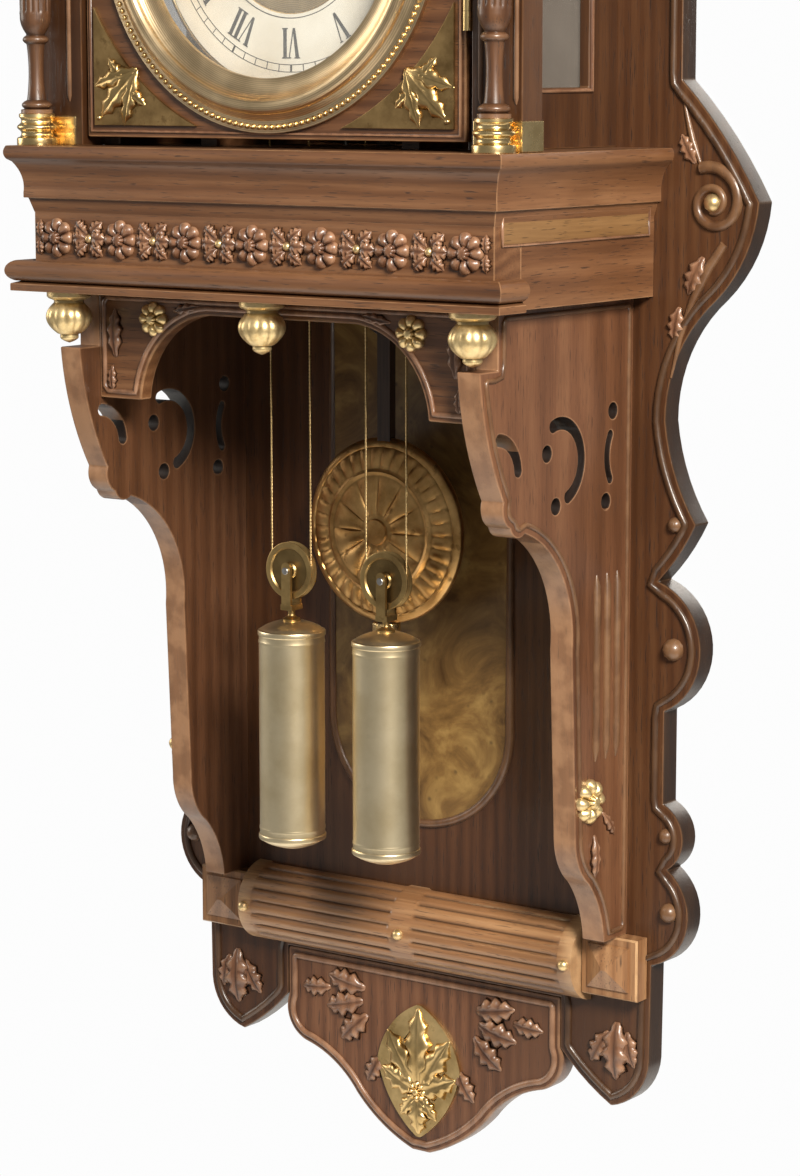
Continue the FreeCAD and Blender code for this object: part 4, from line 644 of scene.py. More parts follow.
# Bolster: a half-round bar of paler wood between two blocks, reeded along its length between plain
# bands with gilt pearls, glued to the backboard under the trunk.
pale_wood = ((0.09, 0.036, 0.014), (0.27, 0.13, 0.055), (0.44, 0.25, 0.12))
bolster_wood = walnut("bolster_wood", "X", *pale_wood, carved=True, gloss=0.3)
bolster_y, bolster_z, bolster_r, bolster_reeds = -15.93, -887.0, 30.07, 9
reed_depths = [(8, 0), (10, 1.4), (12, 2.0), (130, 2.0), (132, 1.4), (135.5, 1.4), (137, 0), (148, 0)]
work = bmesh.new()
rows = []
for x, deep in [(-x, deep) for x, deep in reversed(reed_depths)] + reed_depths:
    row = []
    for step in range(bolster_reeds * 8 + 1):
        share = step / (bolster_reeds * 8)
        angle = math.radians(-86.0 + 172.0 * share)
        reach = bolster_r - deep * (1.0 - abs(math.sin(math.pi * bolster_reeds * share)) ** 0.6)
        row.append(work.verts.new((x * MM, min(board_front, bolster_y - reach * math.cos(angle)) * MM,
                                   (bolster_z + reach * math.sin(angle)) * MM)))
    rows.append(row)
for low, high in zip(rows, rows[1:]):
    for step in range(len(low) - 1):
        work.faces.new((low[step], low[step + 1], high[step + 1], high[step]))
work.faces.new(rows[0])
work.faces.new(rows[-1])
work.faces.new([row[0] for row in rows] + [row[-1] for row in reversed(rows)])
fit("bolster_reeded", closed(work, "bolster", 55.0), bolster_wood, "case", "walnut", "bolster")
clasp = [(x, bolster_y - bolster_r - 0.2, bolster_z, 4.2) for x in (-142.5, 0, 142.5)]
dress("bolster_pearls", bead, clasp, gilt, "case", "brass")

# Foot blocks: a square block of the paler wood at each end of the bolster, its front worked to a
# shallow diamond point inside a flat border.
block_x, block_wide, block_tall = 171.0, 23.0, 22.0
work = bmesh.new()
rub = work.faces.layers.float.new("rub")
for way in (-1, 1):
    last = None
    for y, shy in ((-18, 0.8), (-19, 0), (-31, 0), (-32.5, 1.2), (-32.5, 6), (-34, 6.5), (-40, 21.2)):
        wide, tall = max(0.2, block_wide - shy), max(0.2, block_tall - shy)
        ring = [work.verts.new((way * (block_x + u * wide) * MM, y * MM, (bolster_z + v * tall) * MM))
                for u, v in ((-1, -1), (1, -1), (1, 1), (-1, 1))]
        if last:
            for step in range(4):
                face = work.faces.new((last[step - 1], last[step], ring[step], ring[step - 1]))
                face[rub] = 1.0 if 0 < shy < 2 else 0.0
        else:
            work.faces.new(ring)
        last = ring
    work.faces.new(last)
block_wood = walnut("block_wood", "Z", *pale_wood, gloss=0.3)
fit("foot_blocks_diamond", closed(work, "foot_blocks", 20.0), block_wood, "case", "walnut", "foot_blocks")

# Apron: a shaped walnut board hanging below the bolster, rounded over and beaded like the backboard,
# with leaf sprays carved on each side of the brass mount.
fit("apron_shaped", worked("bottom_apron", 2.2), case_walnut, "case", "walnut", "bottom_apron")
trim("apron_bead", [edge_line("bottom_apron", 1, board_front, 6.5, 2.4)], carved_walnut, "case", "walnut")
sprays = against(board_front, [(50, -942, 34, 80), (52, -952, 34, 104), (48, -962, 32, 132), (34, -990, 26, 148),
                               (82, -946, 26, 95)])
dress("apron_leaves", leaf, pair(sprays), carved_walnut, "case", "walnut")


# Apron mount: a cast and chased brass palmette of leaves round a flower, on a thin ground of sheet
# brass cut to a pointed oval and pinned to the apron.
def brass(name, bright, dull, rough, age=0.6, uneven=0.22):
    """Lacquered brass: brown where the lacquer has gone and in the hollows, brighter where it is rubbed."""
    material, tree, shade, here = blank(name)
    patch = lay(tree, "TexNoise", Vector=here, Scale=38.0, Detail=6.0, Roughness=0.62)
    fine = lay(tree, "TexNoise", Vector=here, Scale=1100.0, Detail=2.0)
    bend = lay(tree, "NewGeometry").node.outputs["Pointiness"]
    colour = tones(tree, patch, (0.34, dull), (0.62, bright))
    stain = toned(dull, 0.28)
    colour = mixed(tree, scaled(tree, grey(tree, bend, 0.5, 0.42), age), colour, stain)
    spots = grey(tree, lay(tree, "TexNoise", Vector=here, Scale=130.0, Detail=3.0), 0.62, 0.72)
    colour = mixed(tree, scaled(tree, spots, age * 0.6), colour, stain)
    dulling = scaled(tree, patch, uneven, scaled(tree, spots, age * 0.25, rough))
    surface(tree, shade, colour, dulling, fine, 0.12, 0.0002)
    shade.inputs["Metallic"].default_value = 1.0
    return material


cast_brass = brass("cast_brass", (0.78, 0.56, 0.26), (0.47, 0.31, 0.12), 0.22, 0.9)
boss_cut, mount_face = -22.5, -20.5
work = skin("apron_mount")
for vert in work.verts:
    if vert.co.y < boss_cut * MM:
        vert.co.y = mount_face * MM
fit("apron_mount_ground", settled(work, "apron_mount"), cast_brass, "case", "brass", "apron_mount")
palm = against(mount_face + 0.1, [(0, -1010, (40, 30, 62), 0)] + [
    (0, foot, (34, 28, long), lean) for foot, long, lean in (
        (-1010, 50, 34), (-1010, 50, -34), (-1012, 36, 66), (-1012, 36, -66))] + [
    (0, -1012, (32, 26, 32), 180), (0, -1012, (22, 20, 25), 140), (0, -1012, (22, 20, 25), -140)])
dress("apron_palmette", leaf, palm, cast_brass, "case", "brass")
dress("apron_mount_boss", bloom, [(0, mount_face + 0.1, -1011, (8.5, 11, 8.5))], cast_brass, "case", "brass")

# Hood floor and frieze box: a slotted floor board housed between three boards that make the open box
# under the hood. The front is carved with flowers and leaves; a paler band is inlaid on the sides.
frieze_tones = ((0.05, 0.018, 0.007), (0.142, 0.06, 0.024), (0.25, 0.122, 0.055))
base_walnut, return_walnut = walnut("base_walnut", "X", *frieze_tones), walnut("return_walnut", "Y", *frieze_tones)
fit("hood_floor_board", worked("hood_floor", 0.8), base_walnut, "case", "walnut", "hood_floor")
base_half, base_front, base_foot, base_top, base_thick = 192.5, -210.0, -420, -320, 30


def slabs(boxes, ease):
    """Squared boards with eased arrises, each from two corners in mm: x, y, z, x, y, z."""
    work = bmesh.new()
    rub = work.faces.layers.float.new("rub")
    for x0, y0, z0, x1, y1, z1 in boxes:
        made = bmesh.ops.create_cube(work, size=1.0)
        for vert in made["verts"]:
            share = vert.co + Vector((0.5, 0.5, 0.5))
            vert.co = Vector((x0 + share.x * (x1 - x0), y0 + share.y * (y1 - y0), z0 + share.z * (z1 - z0))) * MM
        edges = list({edge for vert in made["verts"] for edge in vert.link_edges})
        eased = bmesh.ops.bevel(work, geom=edges, offset=ease * MM, offset_type="OFFSET", segments=2, profile=0.5,
                                affect="EDGES", clamp_overlap=True)
        for face in eased["faces"]:
            face[rub] = 1.0
    return closed(work, "slabs")


inner = base_half - base_thick
frieze = slabs([(-base_half, base_front, base_foot, base_half, base_front + base_thick, base_top),
                (inner, base_front + base_thick - 0.1, base_foot, base_half, board_front, base_top),
                (-base_half, base_front + base_thick - 0.1, base_foot, -inner, board_front, base_top)], 0.8)
for face in frieze.polygons:
    face.material_index = 1 if face.center.y > (base_front + base_thick + 0.5) * MM else 0
fit("frieze_box", frieze, (base_walnut, return_walnut), "case", "walnut", "frieze_boards")
frieze_mid, apart = -383.0, 57.0
flowers = [(apart * step, frieze_mid, (13.5, 13, 13.5)) for step in range(-3, 4)]
dress("frieze_flowers", bloom, against(base_front, flowers), carved_walnut, "case", "walnut")
foliage, between = [], [apart * (step + 0.5) for step in range(-3, 3)]
for middle in between:
    for way in (-1, 1):
        foliage += [(middle + way * 1.5, frieze_mid, (22, 26, 14), 90 * way),
                    (middle + way * 2, frieze_mid + 3, (18, 24, 13), 48 * way),
                    (middle + way * 2, frieze_mid - 3, (18, 24, 13), 132 * way)]
foliage += [(186.5 * way, frieze_mid + lift, (14, 18, 12), lean) for way in (-1, 1)
            for lift, lean in ((0.3, 0), (-0.3, 180))]
dress("frieze_leaves", leaf, against(base_front, foliage), carved_walnut, "case", "walnut")
dress("frieze_pearls", bead, against(base_front, [(x, frieze_mid, 3.2) for x in between]), gilt, "case", "brass")
inlay_wood = walnut("inlay_wood", "Y", (0.1, 0.044, 0.015), (0.19, 0.098, 0.036), (0.27, 0.15, 0.06), gloss=0.3)
band_front, band_rear, band_foot, band_top = -202, -26, -378, -360
bands = [(left, band_front, band_foot, left + 1.2, band_rear, band_top) for left in (192.0, -193.2)]
fit("frieze_side_bands", slabs(bands, 0.4), inlay_wood, "case", "walnut")
edging = [[(193.0, y, z, 1.3) for y, z in ((band_front, band_foot), (band_front, band_top), (band_rear, band_top),
                                           (band_rear, band_foot), (band_front, band_foot))]]
trim("frieze_band_edging", both(edging), carved_walnut, "case", "walnut", sides=8)


# Base mouldings: a deep shelf moulding under the hood and a thinner one below the frieze, both run
# with a plane and mitred at the corners, then glued to the box.
def mitred(mesh, half, front):
    """Turn the grain of the side returns at the mitres of a moulding that runs round a front."""
    for face in mesh.polygons:
        face.material_index = 1 if abs(face.center.x) / MM - half > front - face.center.y / MM else 0
    return mesh


fit("base_mouldings_run", mitred(worked("base_mouldings", 0.5, clamp=False), base_half, base_front),
    (base_walnut, return_walnut), "case", "walnut", "base_mouldings")

# Arched valance: a thin board between the brackets with one wide arch sawn in its lower edge, beaded
# along the edge and carved with leaves and gilt flowers in the corners.
valance_front = -182.0
fit("valance_arched", worked("arch_valance_with_pendants", 1.4, keep=lambda point: point.y > valance_front - 2),
    base_walnut, "case", "walnut", "arch_valance_with_pendants")
trim("valance_bead", [edge_line("arch_valance_with_pendants", 1, valance_front, 5.0, 1.8)], carved_walnut, "case",
     "walnut")
corner = against(valance_front, [(144, -466, (22, 26, 34), 0), (147, -472, (14, 18, 18), 180),
                                 (92, -432, (14, 18, 24), -80)])
dress("valance_leaves", leaf, pair(corner), carved_walnut, "case", "walnut")
dress("valance_flowers", bloom, pair([(109, valance_front, -438, (12, 13, 12))]), gilt, "case", "brass")


# Pendants: three turned wooden drops under the frieze, one at each corner and one in the middle,
# gadrooned and gilt, pegged into the lower moulding.
def lathe(profile, x, y, z, axis="Z", steps=48, wave=None):
    """Turn (radius, height) points in mm about an axis through a place; wave carves reeds round it."""
    work = bmesh.new()
    rows = []
    for radius, height in profile:
        row = []
        for step in range(steps):
            angle = 2.0 * math.pi * step / steps
            reach = radius + (wave(height, angle) if wave else 0.0)
            u, v = reach * math.cos(angle), reach * math.sin(angle)
            spot = (u, height, v) if axis == "Y" else (u, v, height)
            row.append(work.verts.new(((x + spot[0]) * MM, (y + spot[1]) * MM, (z + spot[2]) * MM)))
        rows.append(row)
    hoops(work, rows, ends=profile[0] != profile[-1])
    bmesh.ops.remove_doubles(work, verts=work.verts, dist=1e-6)
    return closed(work, "turning", 42.0)


def swell(start, stop, out, parts=7):
    """A curved run of a turning from one point to the next, its middle standing out (or in) by some mm."""
    return [(start[0] + (stop[0] - start[0]) * step / parts + 4.0 * out * step / parts * (1.0 - step / parts),
             start[1] + (stop[1] - start[1]) * step / parts) for step in range(1, parts + 1)]


def gadroons(low, high):
    """Twelve reeds round a turned body, fullest halfway between two heights."""
    return lambda height, angle: (0.9 * (abs(math.sin(6 * angle)) - 0.8)
                                  * max(0.0, 1.0 - ((2 * height - low - high) / (high - low)) ** 2))


def put_together(name, *meshes):
    """Several meshes as one."""
    work = bmesh.new()
    for mesh in meshes:
        work.from_mesh(mesh)
    whole = bpy.data.meshes.new(name)
    work.to_mesh(whole)
    work.free()
    return whole


pendant = [(0.2, 0), (15.3, 0), (15.3, -3.6), (14, -5), (10.4, -6.4), (10.4, -8)]
pendant += swell((10.4, -8), (8.2, -29.5), 6.6, 12) + [(6.4, -30), (6.4, -31.4)]
pendant += swell((6.4, -31.4), (0.2, -36), 2.0)
drops = [lathe(pendant, x, -201, base_foot, steps=96, wave=gadroons(-29.5, -8.5)) for x in (-170, 0, 170)]
fit("valance_pendants", put_together("pendants", *drops), gilt, "case", "brass")

# Hood sides: two walnut boards housed in the floor and the roof, each with a window cut through it and
# a bead pinned round the opening.
hood_walnut = walnut("hood_walnut", "Z", (0.024, 0.008, 0.003), (0.056, 0.021, 0.007), (0.1, 0.042, 0.016))
fit("hood_side_boards", worked("hood_sides", 1.0), hood_walnut, "case", "walnut", "hood_sides")
sash = [[(162.0, y, z, 2.2) for y, z in ((-139, -282), (-139, -58), (-51, -58), (-51, -282), (-139, -282))]]
trim("hood_window_beads", both(sash), carved_walnut, "case", "walnut")


# Window panes: thin old cylinder glass, grey with age, held in the rebates of the hood sides by putty.
# The panes are faintly wavy and dusty.
def glass(name, tint, clear, rough):
    """Old glass: faintly wavy, with a film of dust that dulls it in patches."""
    material, tree, shade, here = blank(name)
    waves = lay(tree, "TexNoise", Vector=here, Scale=14.0, Detail=1.0)
    dust = lay(tree, "TexNoise", Vector=here, Scale=30.0, Detail=6.0)
    colour = tones(tree, dust, (0.3, tint), (0.7, toned(tint, 0.8)))
    surface(tree, shade, colour, scaled(tree, dust, 0.12, rough), waves, 0.2, 0.001)
    shade.inputs["Alpha"].default_value = clear
    shade.inputs["IOR"].default_value = 1.5
    return material


coat(glass("window_glass", (0.2, 0.175, 0.15), 0.5, 0.04), "side_window_glass")

# Corner columns: turned walnut shafts, slender at the ends, ringed, and full and fluted in the middle,
# standing between cast brass feet and caps on the front corners of the base.
column_x, column_y, hood_top, socket_tall, shaft, plain = 190.5, -208.0, -20, 22.0, 256.0, 69
half = [(0.2, 0), (10.8, 0), (10.8, 2.4), (8.4, 3)] + swell((8.4, 3), (8.4, 8), 1.9) + [(6.6, 9)]
half += swell((6.6, 9), (6.2, 46), -1.2, 10) + [(6.4, 47)] + swell((6.4, 47), (6.4, 53), 2.6) + [(6.6, 54)]
half += swell((6.6, 54), (10.6, 66), 1.2) + [(10.8, 68), (10.6, 70), (10.8, 90), (11, 110), (11, shaft / 2)]
column = half + [(radius, shaft - height) for radius, height in reversed(half[:-1])]


def flutes(height, angle):
    """Twelve shallow flutes round the full middle of a shaft."""
    return -0.8 * max(0.0, math.cos(12 * angle)) if plain < height < shaft - plain else 0.0


shafts = [lathe(column, x, column_y, base_top + socket_tall, steps=96, wave=flutes) for x in (-column_x, column_x)]
turned_walnut = walnut("turned_walnut", "Z", (0.035, 0.012, 0.005), (0.1, 0.043, 0.018), (0.19, 0.092, 0.045), True)
fit("corner_columns_turned", put_together("columns", *shafts), turned_walnut, "case", "walnut", "corner_columns")
bright_brass = brass("bright_brass", (0.86, 0.66, 0.34), (0.6, 0.42, 0.18), 0.16, 0.7)
socket = [(0.2, 0), (13.6, 0), (14, 0.6), (14, 4.6), (13.4, 5.4), (12, 5.8)] + swell((12, 5.8), (11.6, 10), -0.9)
socket += [(12.2, 10.4)] + swell((12.2, 10.4), (12.2, 14.6), 1.6) + [(11.4, 15.2)] + swell((11.4, 15.2), (12, 19), -0.8)
socket += [(12.4, 19.4), (12.4, 21.4), (11, socket_tall), (0.2, socket_tall)]
ends = [lathe([(radius, way * height) for radius, height in socket], x, column_y, level)
        for way, level in ((1, base_top), (-1, hood_top)) for x in (-column_x, column_x)]
fit("column_sockets", put_together("sockets", *ends), bright_brass, "case", "brass", "column_brasses")

# Corner pilasters: narrow walnut boards behind the columns that close the hood beside the door, beaded
# down both edges, in folded brass shoes at foot and head. They are screwed to the hood sides.
pilasters = [(164.6, -195, base_top, 203, -172, hood_top), (-203, -195, base_top, -160.5, -172, hood_top),
             (162, -178, base_top, 165, -172, -250), (162, -178, -90, 165, -172, hood_top)]
fit("corner_pilasters", slabs(pilasters, 0.8), hood_walnut, "case", "walnut")
fluting = [[(x, -195.0, z, thick) for z, thick in ((-290, 0.5), (-286, 1.7), (-54, 1.7), (-50, 0.5))]
           for x in (171.5, 198.5)]
trim("pilaster_beads", both(fluting), turned_walnut, "case", "walnut")
shoes = [(left, -196, level, left + 38, -171, level + 20)
         for left in (-204, 166) for level in (base_top, hood_top - 20)]
fit("pilaster_shoes", slabs(shoes, 1.2), bright_brass, "case", "brass")


# Roof and cornice: a flat board over the hood with a deep cornice planed and mitred round its edge,
# and a row of gilt studs pinned along the lowest step.
def stud():
    """A low round-headed stud of unit radius for long rows, its head towards -Y."""
    work = bmesh.new()
    rows = [[work.verts.new((math.cos(lift) * math.cos(math.pi * step / 6), -math.sin(lift),
                             math.cos(lift) * math.sin(math.pi * step / 6))) for step in range(12)]
            for lift in (-0.2, 0.35, 0.9)]
    top = work.verts.new((0.0, -1.0, 0.0))
    hoops(work, rows)
    for step in range(12):
        work.faces.new((rows[-1][step - 1], rows[-1][step], top))
    work.faces.new(rows[0])
    return closed(work, "stud", 60.0)


cornice_half, cornice_front, stud_out, stud_level, stud_r = 207.5, -225.0, 5.6, -16.8, 2.6
fit("hood_roof_board", worked("hood_roof", 0.8), base_walnut, "case", "walnut", "hood_roof")
fit("cornice_run", mitred(worked("cornice", 0.6), cornice_half, cornice_front), (base_walnut, return_walnut), "case",
    "walnut", "cornice")
studs = stud()
row = [(-210 + 420 * step / 60, cornice_front - stud_out, stud_level, stud_r) for step in range(61)]
row += [(way * (cornice_half + stud_out), -222 + 198 * step / 28, stud_level, stud_r, 0, 90 * way)
        for way in (-1, 1) for step in range(29)]
dress("cornice_pearls", studs, row, gilt, "case", "brass")

# Crest: a sawn and carved walnut board standing on the roof behind the cornice, beaded along its edge
# and covered with scrolls and leaves around a flower.
crest_front = -193.0
fit("crest_shaped", worked("crest_board", 2.2), case_walnut, "case", "walnut", "crest_board")
trim("crest_bead", [edge_line("crest_board", 1, crest_front, 6.5, 2.4)], carved_walnut, "case", "walnut")
scrolls = [volute(112, crest_front, 36, 24, 6, 150, 1.5, 4.2), volute(62, crest_front, 30, 20, 5, 200, -1.4, 3.8)]
trim("crest_scrolls", both(scrolls), carved_walnut, "case", "walnut", sides=12)
spread = against(crest_front, [(0, 132, (30, 30, 32), 0), (10, 128, (22, 24, 30), 34), (-10, 128, (22, 24, 30), -34),
                               (0, 70, (34, 34, 52), 180)])
spread += pair(against(crest_front, [(16, 76, (30, 30, 44), 140), (30, 84, (24, 26, 30), 104),
                                     (90, 30, (24, 28, 32), -60), (88, 22, (24, 28, 30), -110),
                                     (132, 18, (20, 24, 24), 150)]))
dress("crest_leaves", leaf, spread, carved_walnut, "case", "walnut")

# Finials: turned walnut vases, gadrooned round the body, one on each front corner of the roof and a
# smaller one on top of the crest, all on pegs.
vase = [(0.2, 0), (14.2, 0), (14.2, 6), (12.4, 8), (12.4, 12)] + swell((12.4, 12), (14.2, 20), -1.6) + [(14.2, 30)]
vase += swell((14.2, 30), (5.2, 39), -3.0) + swell((5.2, 39), (5.2, 69), 9.4, 14)
vase += [(4, 70), (3.6, 74), (4.6, 77), (4.6, 82)] + swell((4.6, 82), (0.3, 96), 2.2)
knop = [(0.2, 0), (10.6, 0), (10.6, 5)] + swell((10.6, 5), (4.8, 14), -2.4) + swell((4.8, 14), (4.2, 40), 6.8, 12)
knop += [(3.4, 42), (3.6, 47)] + swell((3.6, 47), (0.3, 57.4), 1.8)
tops = [lathe(vase, x, -201, -2, steps=96, wave=gadroons(40, 68)) for x in (-183.5, 183.5)]
tops.append(lathe(knop, 0, -183, 170, steps=96, wave=gadroons(15, 39)))
fit("finials_turned", put_together("finials", *tops), carved_walnut, "case", "walnut", "crest_finials")


# Movement: two lacquered brass plates on pillars, standing on a walnut seat; the wheels, arbors and
# motion work are cut brass, the anchor is polished steel. Steel screws hold the plates to the pillars.
def screw():
    """A cheese-head screw of unit radius with a slot, its head standing out towards -Y."""
    work = bmesh.new()
    rows = [[work.verts.new((reach * math.cos(math.pi * step / 8), rise, reach * math.sin(math.pi * step / 8)))
             for step in range(16)] for reach, rise in ((1.0, 0.0), (1.0, -0.42), (0.86, -0.55))]
    hoops(work, rows, ends=True)
    slot = [[work.verts.new((x, y, z)) for x, z in ((-0.84, -0.13), (0.84, -0.13), (0.84, 0.13), (-0.84, 0.13))]
            for y in (-0.57, -0.51)]
    hoops(work, slot, ends=True)
    return closed(work, "screw", 35.0)


plate_brass = brass("plate_brass", (0.8, 0.6, 0.29), (0.56, 0.39, 0.16), 0.24, 0.5)
wheel_brass = brass("wheel_brass", (0.86, 0.64, 0.3), (0.6, 0.42, 0.17), 0.17, 0.6)
coat(plate_brass, "movement_front_plate", "movement_back_plate", "suspension_cock")
coat(wheel_brass, "time_great_wheel", "centre_wheel", "third_wheel", "escape_wheel", "strike_great_wheel",
     "strike_pin_wheel", "strike_locking_wheel", "strike_fly", "minute_wheel", "time_barrel", "strike_barrel")
coat(plain_steel, "anchor_and_crutch", "suspension_spring")
coat(base_walnut, "movement_seat")
screws = screw()
plate_front, plate_rear = -145, -92
pillars = [(x, y, z) for x in (-64, 64) for z in (-94, -238) for y in (plate_front, plate_rear)]
heads = [(x, y, z, 3.4, 25.0 + 37 * step, 0 if y == plate_front else 180) for step, (x, y, z) in enumerate(pillars)]
dress("movement_screws", screws, heads, plain_steel, "case", "steel")


# Dial: a brass plate with a fine spun grain behind a cream enamelled chapter ring. The hours and the
# minute track are fired on in black, and turned brass collars line the edges and the winding holes.
def spun(name, bright, dull, x, y, z):
    """Brass turned on a lathe face, with the fine rings that the tool leaves round a middle in mm."""
    material, tree, shade, here = blank(name)
    here = lay(tree, "Mapping", Vector=here, Location=(-x * MM, -y * MM, -z * MM))
    rings = lay(tree, "TexWave", wave_type="RINGS", rings_direction="Y", Vector=here, Scale=260.0, Distortion=0.4)
    rings = rings.node.outputs["Fac"]
    patch = lay(tree, "TexNoise", Vector=here, Scale=40.0, Detail=5.0)
    colour = tones(tree, scaled(tree, patch, 0.7, scaled(tree, rings, 0.3)), (0.3, dull), (0.7, bright))
    surface(tree, shade, colour, scaled(tree, patch, 0.2, 0.25), rings, 0.3, 0.0002)
    shade.inputs["Metallic"].default_value = 1.0
    return material


def enamel(name, cream, stain):
    """Old vitreous enamel: glossy, slightly uneven, yellowed in clouds and finely crazed."""
    material, tree, shade, here = blank(name)
    cloud = lay(tree, "TexNoise", Vector=here, Scale=18.0, Detail=5.0)
    craze = lay(tree, "TexVoronoi", feature="DISTANCE_TO_EDGE", Vector=here, Scale=140.0)
    lines = reckon(tree, "MULTIPLY", grey(tree, craze, 0.02, 0.0), grey(tree, cloud, 0.45, 0.7))
    colour = tones(tree, cloud, (0.35, cream), (0.75, stain))
    colour = mixed(tree, scaled(tree, lines, 0.5), colour, (0.2, 0.16, 0.1))
    surface(tree, shade, colour, scaled(tree, cloud, 0.15, 0.12), cloud, 0.1, 0.0005)
    return material


def ink(name, tone):
    """Black fired paint, a little uneven in gloss and density."""
    material, tree, shade, here = blank(name)
    wear = lay(tree, "TexNoise", Vector=here, Scale=220.0, Detail=4.0)
    colour = tones(tree, wear, (0.35, tone), (0.75, toned(tone, 3.0)))
    surface(tree, shade, colour, scaled(tree, wear, 0.3, 0.25), wear, 0.15, 0.0002)
    return material


def bar(left, right, foot, top):
    """An upright stroke or a serif of a numeral, as four corners."""
    return [(left, top), (right, top), (right, foot), (left, foot)]


def round_line(x, y, z, radius, half, parts=120):
    """A closed round line facing the front."""
    angles = [2.0 * math.pi * part / parts for part in range(parts)]
    line = [(x + radius * math.cos(angle), y, z + radius * math.sin(angle), half) for angle in angles]
    return line + line[:1]


dial_y, dial_z, ring_face = -166.0, -170.0, -167.5
coat(spun("dial_brass", (0.78, 0.58, 0.28), (0.5, 0.34, 0.14), 0.0, dial_y, dial_z), "dial_plate")
coat(enamel("cream_enamel", (0.8, 0.77, 0.67), (0.6, 0.53, 0.4)), "chapter_ring")
dial_ink = ink("dial_ink", (0.014, 0.013, 0.012))
tall, serif, hour_foot, narrow = 20.0, 0.8, 71.0, 0.92
neck = tall - serif
numerals = {
    "I": (5.2, [bar(-1.5, 1.5, 0, tall), bar(-2.5, 2.5, 0, serif), bar(-2.5, 2.5, neck, tall)]),
    "V": (11.0, [[(-4.8, tall), (-1.6, tall), (1.0, 0), (-1.0, 0)], [(4.0, tall), (4.8, tall), (0.9, 0), (0.1, 0)],
                 bar(-5.4, -0.6, neck, tall), bar(2.6, 5.4, neck, tall)]),
    "X": (11.0, [[(-4.8, tall), (-1.7, tall), (4.8, 0), (1.7, 0)], [(3.8, tall), (4.7, tall), (-3.8, 0), (-4.7, 0)],
                 bar(-5.4, -0.8, neck, tall), bar(2.4, 5.4, neck, tall), bar(-5.4, -2.4, 0, serif),
                 bar(0.8, 5.4, 0, serif)]),
}
work = bmesh.new()
for hour, word in enumerate(("I", "II", "III", "IIII", "V", "VI", "VII", "VIII", "IX", "X", "XI", "XII"), 1):
    turn = math.radians(30.0 * hour)
    start = -sum(numerals[letter][0] for letter in word) / 2.0
    for letter in word:
        wide, parts = numerals[letter]
        for step, part in enumerate(parts):
            rows = [[], []]
            for u, v in part:
                across, reach = (start + wide / 2.0 + u) * narrow, hour_foot + v
                x = reach * math.sin(turn) + across * math.cos(turn)
                z = dial_z + reach * math.cos(turn) - across * math.sin(turn)
                for row, y in zip(rows, (ring_face - 0.22 - 0.02 * step, ring_face + 0.1)):
                    row.append(work.verts.new((x * MM, y * MM, z * MM)))
            hoops(work, rows, ends=True)
        start += wide
fit("hour_numerals", closed(work, "numerals", 20.0), dial_ink, "case", "cream")
tick = slabs([(-500, -1000, -500, 500, 200, 500)], 20.0)
mark_reach, long_mark, short_mark = 97.6, (1.5, 0.25, 4.6), (0.55, 0.22, 4.6)
marks = []
for minute in range(60):
    turn = math.radians(6.0 * minute)
    marks.append((mark_reach * math.sin(turn), dial_z + mark_reach * math.cos(turn),
                  short_mark if minute % 5 else long_mark, 6.0 * minute))
dress("minute_marks", tick, against(ring_face, marks), dial_ink, "case", "cream")
tracks = [round_line(0, ring_face, dial_z, radius, half)
          for radius, half in ((95.2, 0.28), (100.0, 0.28), (64.5, 0.35))]
trim("dial_track_lines", tracks, dial_ink, "case", "cream", sides=6)
arbor_x, arbor_z = 36.0, -181.5
collars = [round_line(x, dial_y, arbor_z, 7.2, 1.1, 48) for x in (-arbor_x, arbor_x)]
collars += [round_line(0, dial_y, dial_z, 61.2, 0.9), round_line(0, dial_y, dial_z, 114.2, 1.2)]
trim("dial_collars", collars, bright_brass, "case", "brass")

# Hands: sawn from sheet steel, filed, polished and blued over a flame, then pressed on the tubes of
# the motion work.
blued = steel("blued_steel", (0.03, 0.045, 0.12), (0.012, 0.014, 0.035), 0.16)
coat(blued, "hour_hand", "minute_hand")

# Door: a square walnut frame with a round opening, hung on the right side of the hood. A bead is
# pinned near its edge; cast brass leaves on brass grounds fill the corners round the bezel.
door_front, mount_front, pin_front = -192.0, -193.6, -194.5
fit("door_frame_board", worked("door_frame", 1.2), base_walnut, "door", "walnut", "door_frame")
edge = against(door_front, [(-154, -310, 1.5), (154, -310, 1.5), (154, -30, 1.5), (-154, -30, 1.5), (-154, -310, 1.5)])
trim("door_bead", [edge], carved_walnut, "door", "walnut")
aged_brass = brass("aged_brass", (0.42, 0.28, 0.12), (0.2, 0.12, 0.045), 0.32, 0.9)
fit("door_corner_grounds", worked("door_corner_mounts", 0.5), aged_brass, "door", "brass", "door_corner_mounts")
corner = []
for rise in (-1, 1):
    for x, z, lean, size in ((112, 98, 45, (30, 26, 46)), (112, 98, 17, (24, 26, 40)), (112, 98, 73, (24, 26, 40)),
                             (122, 108, -50, (16, 22, 24)), (122, 108, 140, (16, 22, 24))):
        corner.append((x, mount_front, dial_z + rise * z, size, lean if rise > 0 else 180 - lean))
dress("door_corner_leaves", leaf, pair(corner), cast_brass, "door", "brass")
pins = pair([(145.5, pin_front, dial_z + rise * 131.0, 1.8) for rise in (-1, 1)])
dress("door_mount_pins", bead, pins, bright_brass, "door", "brass")

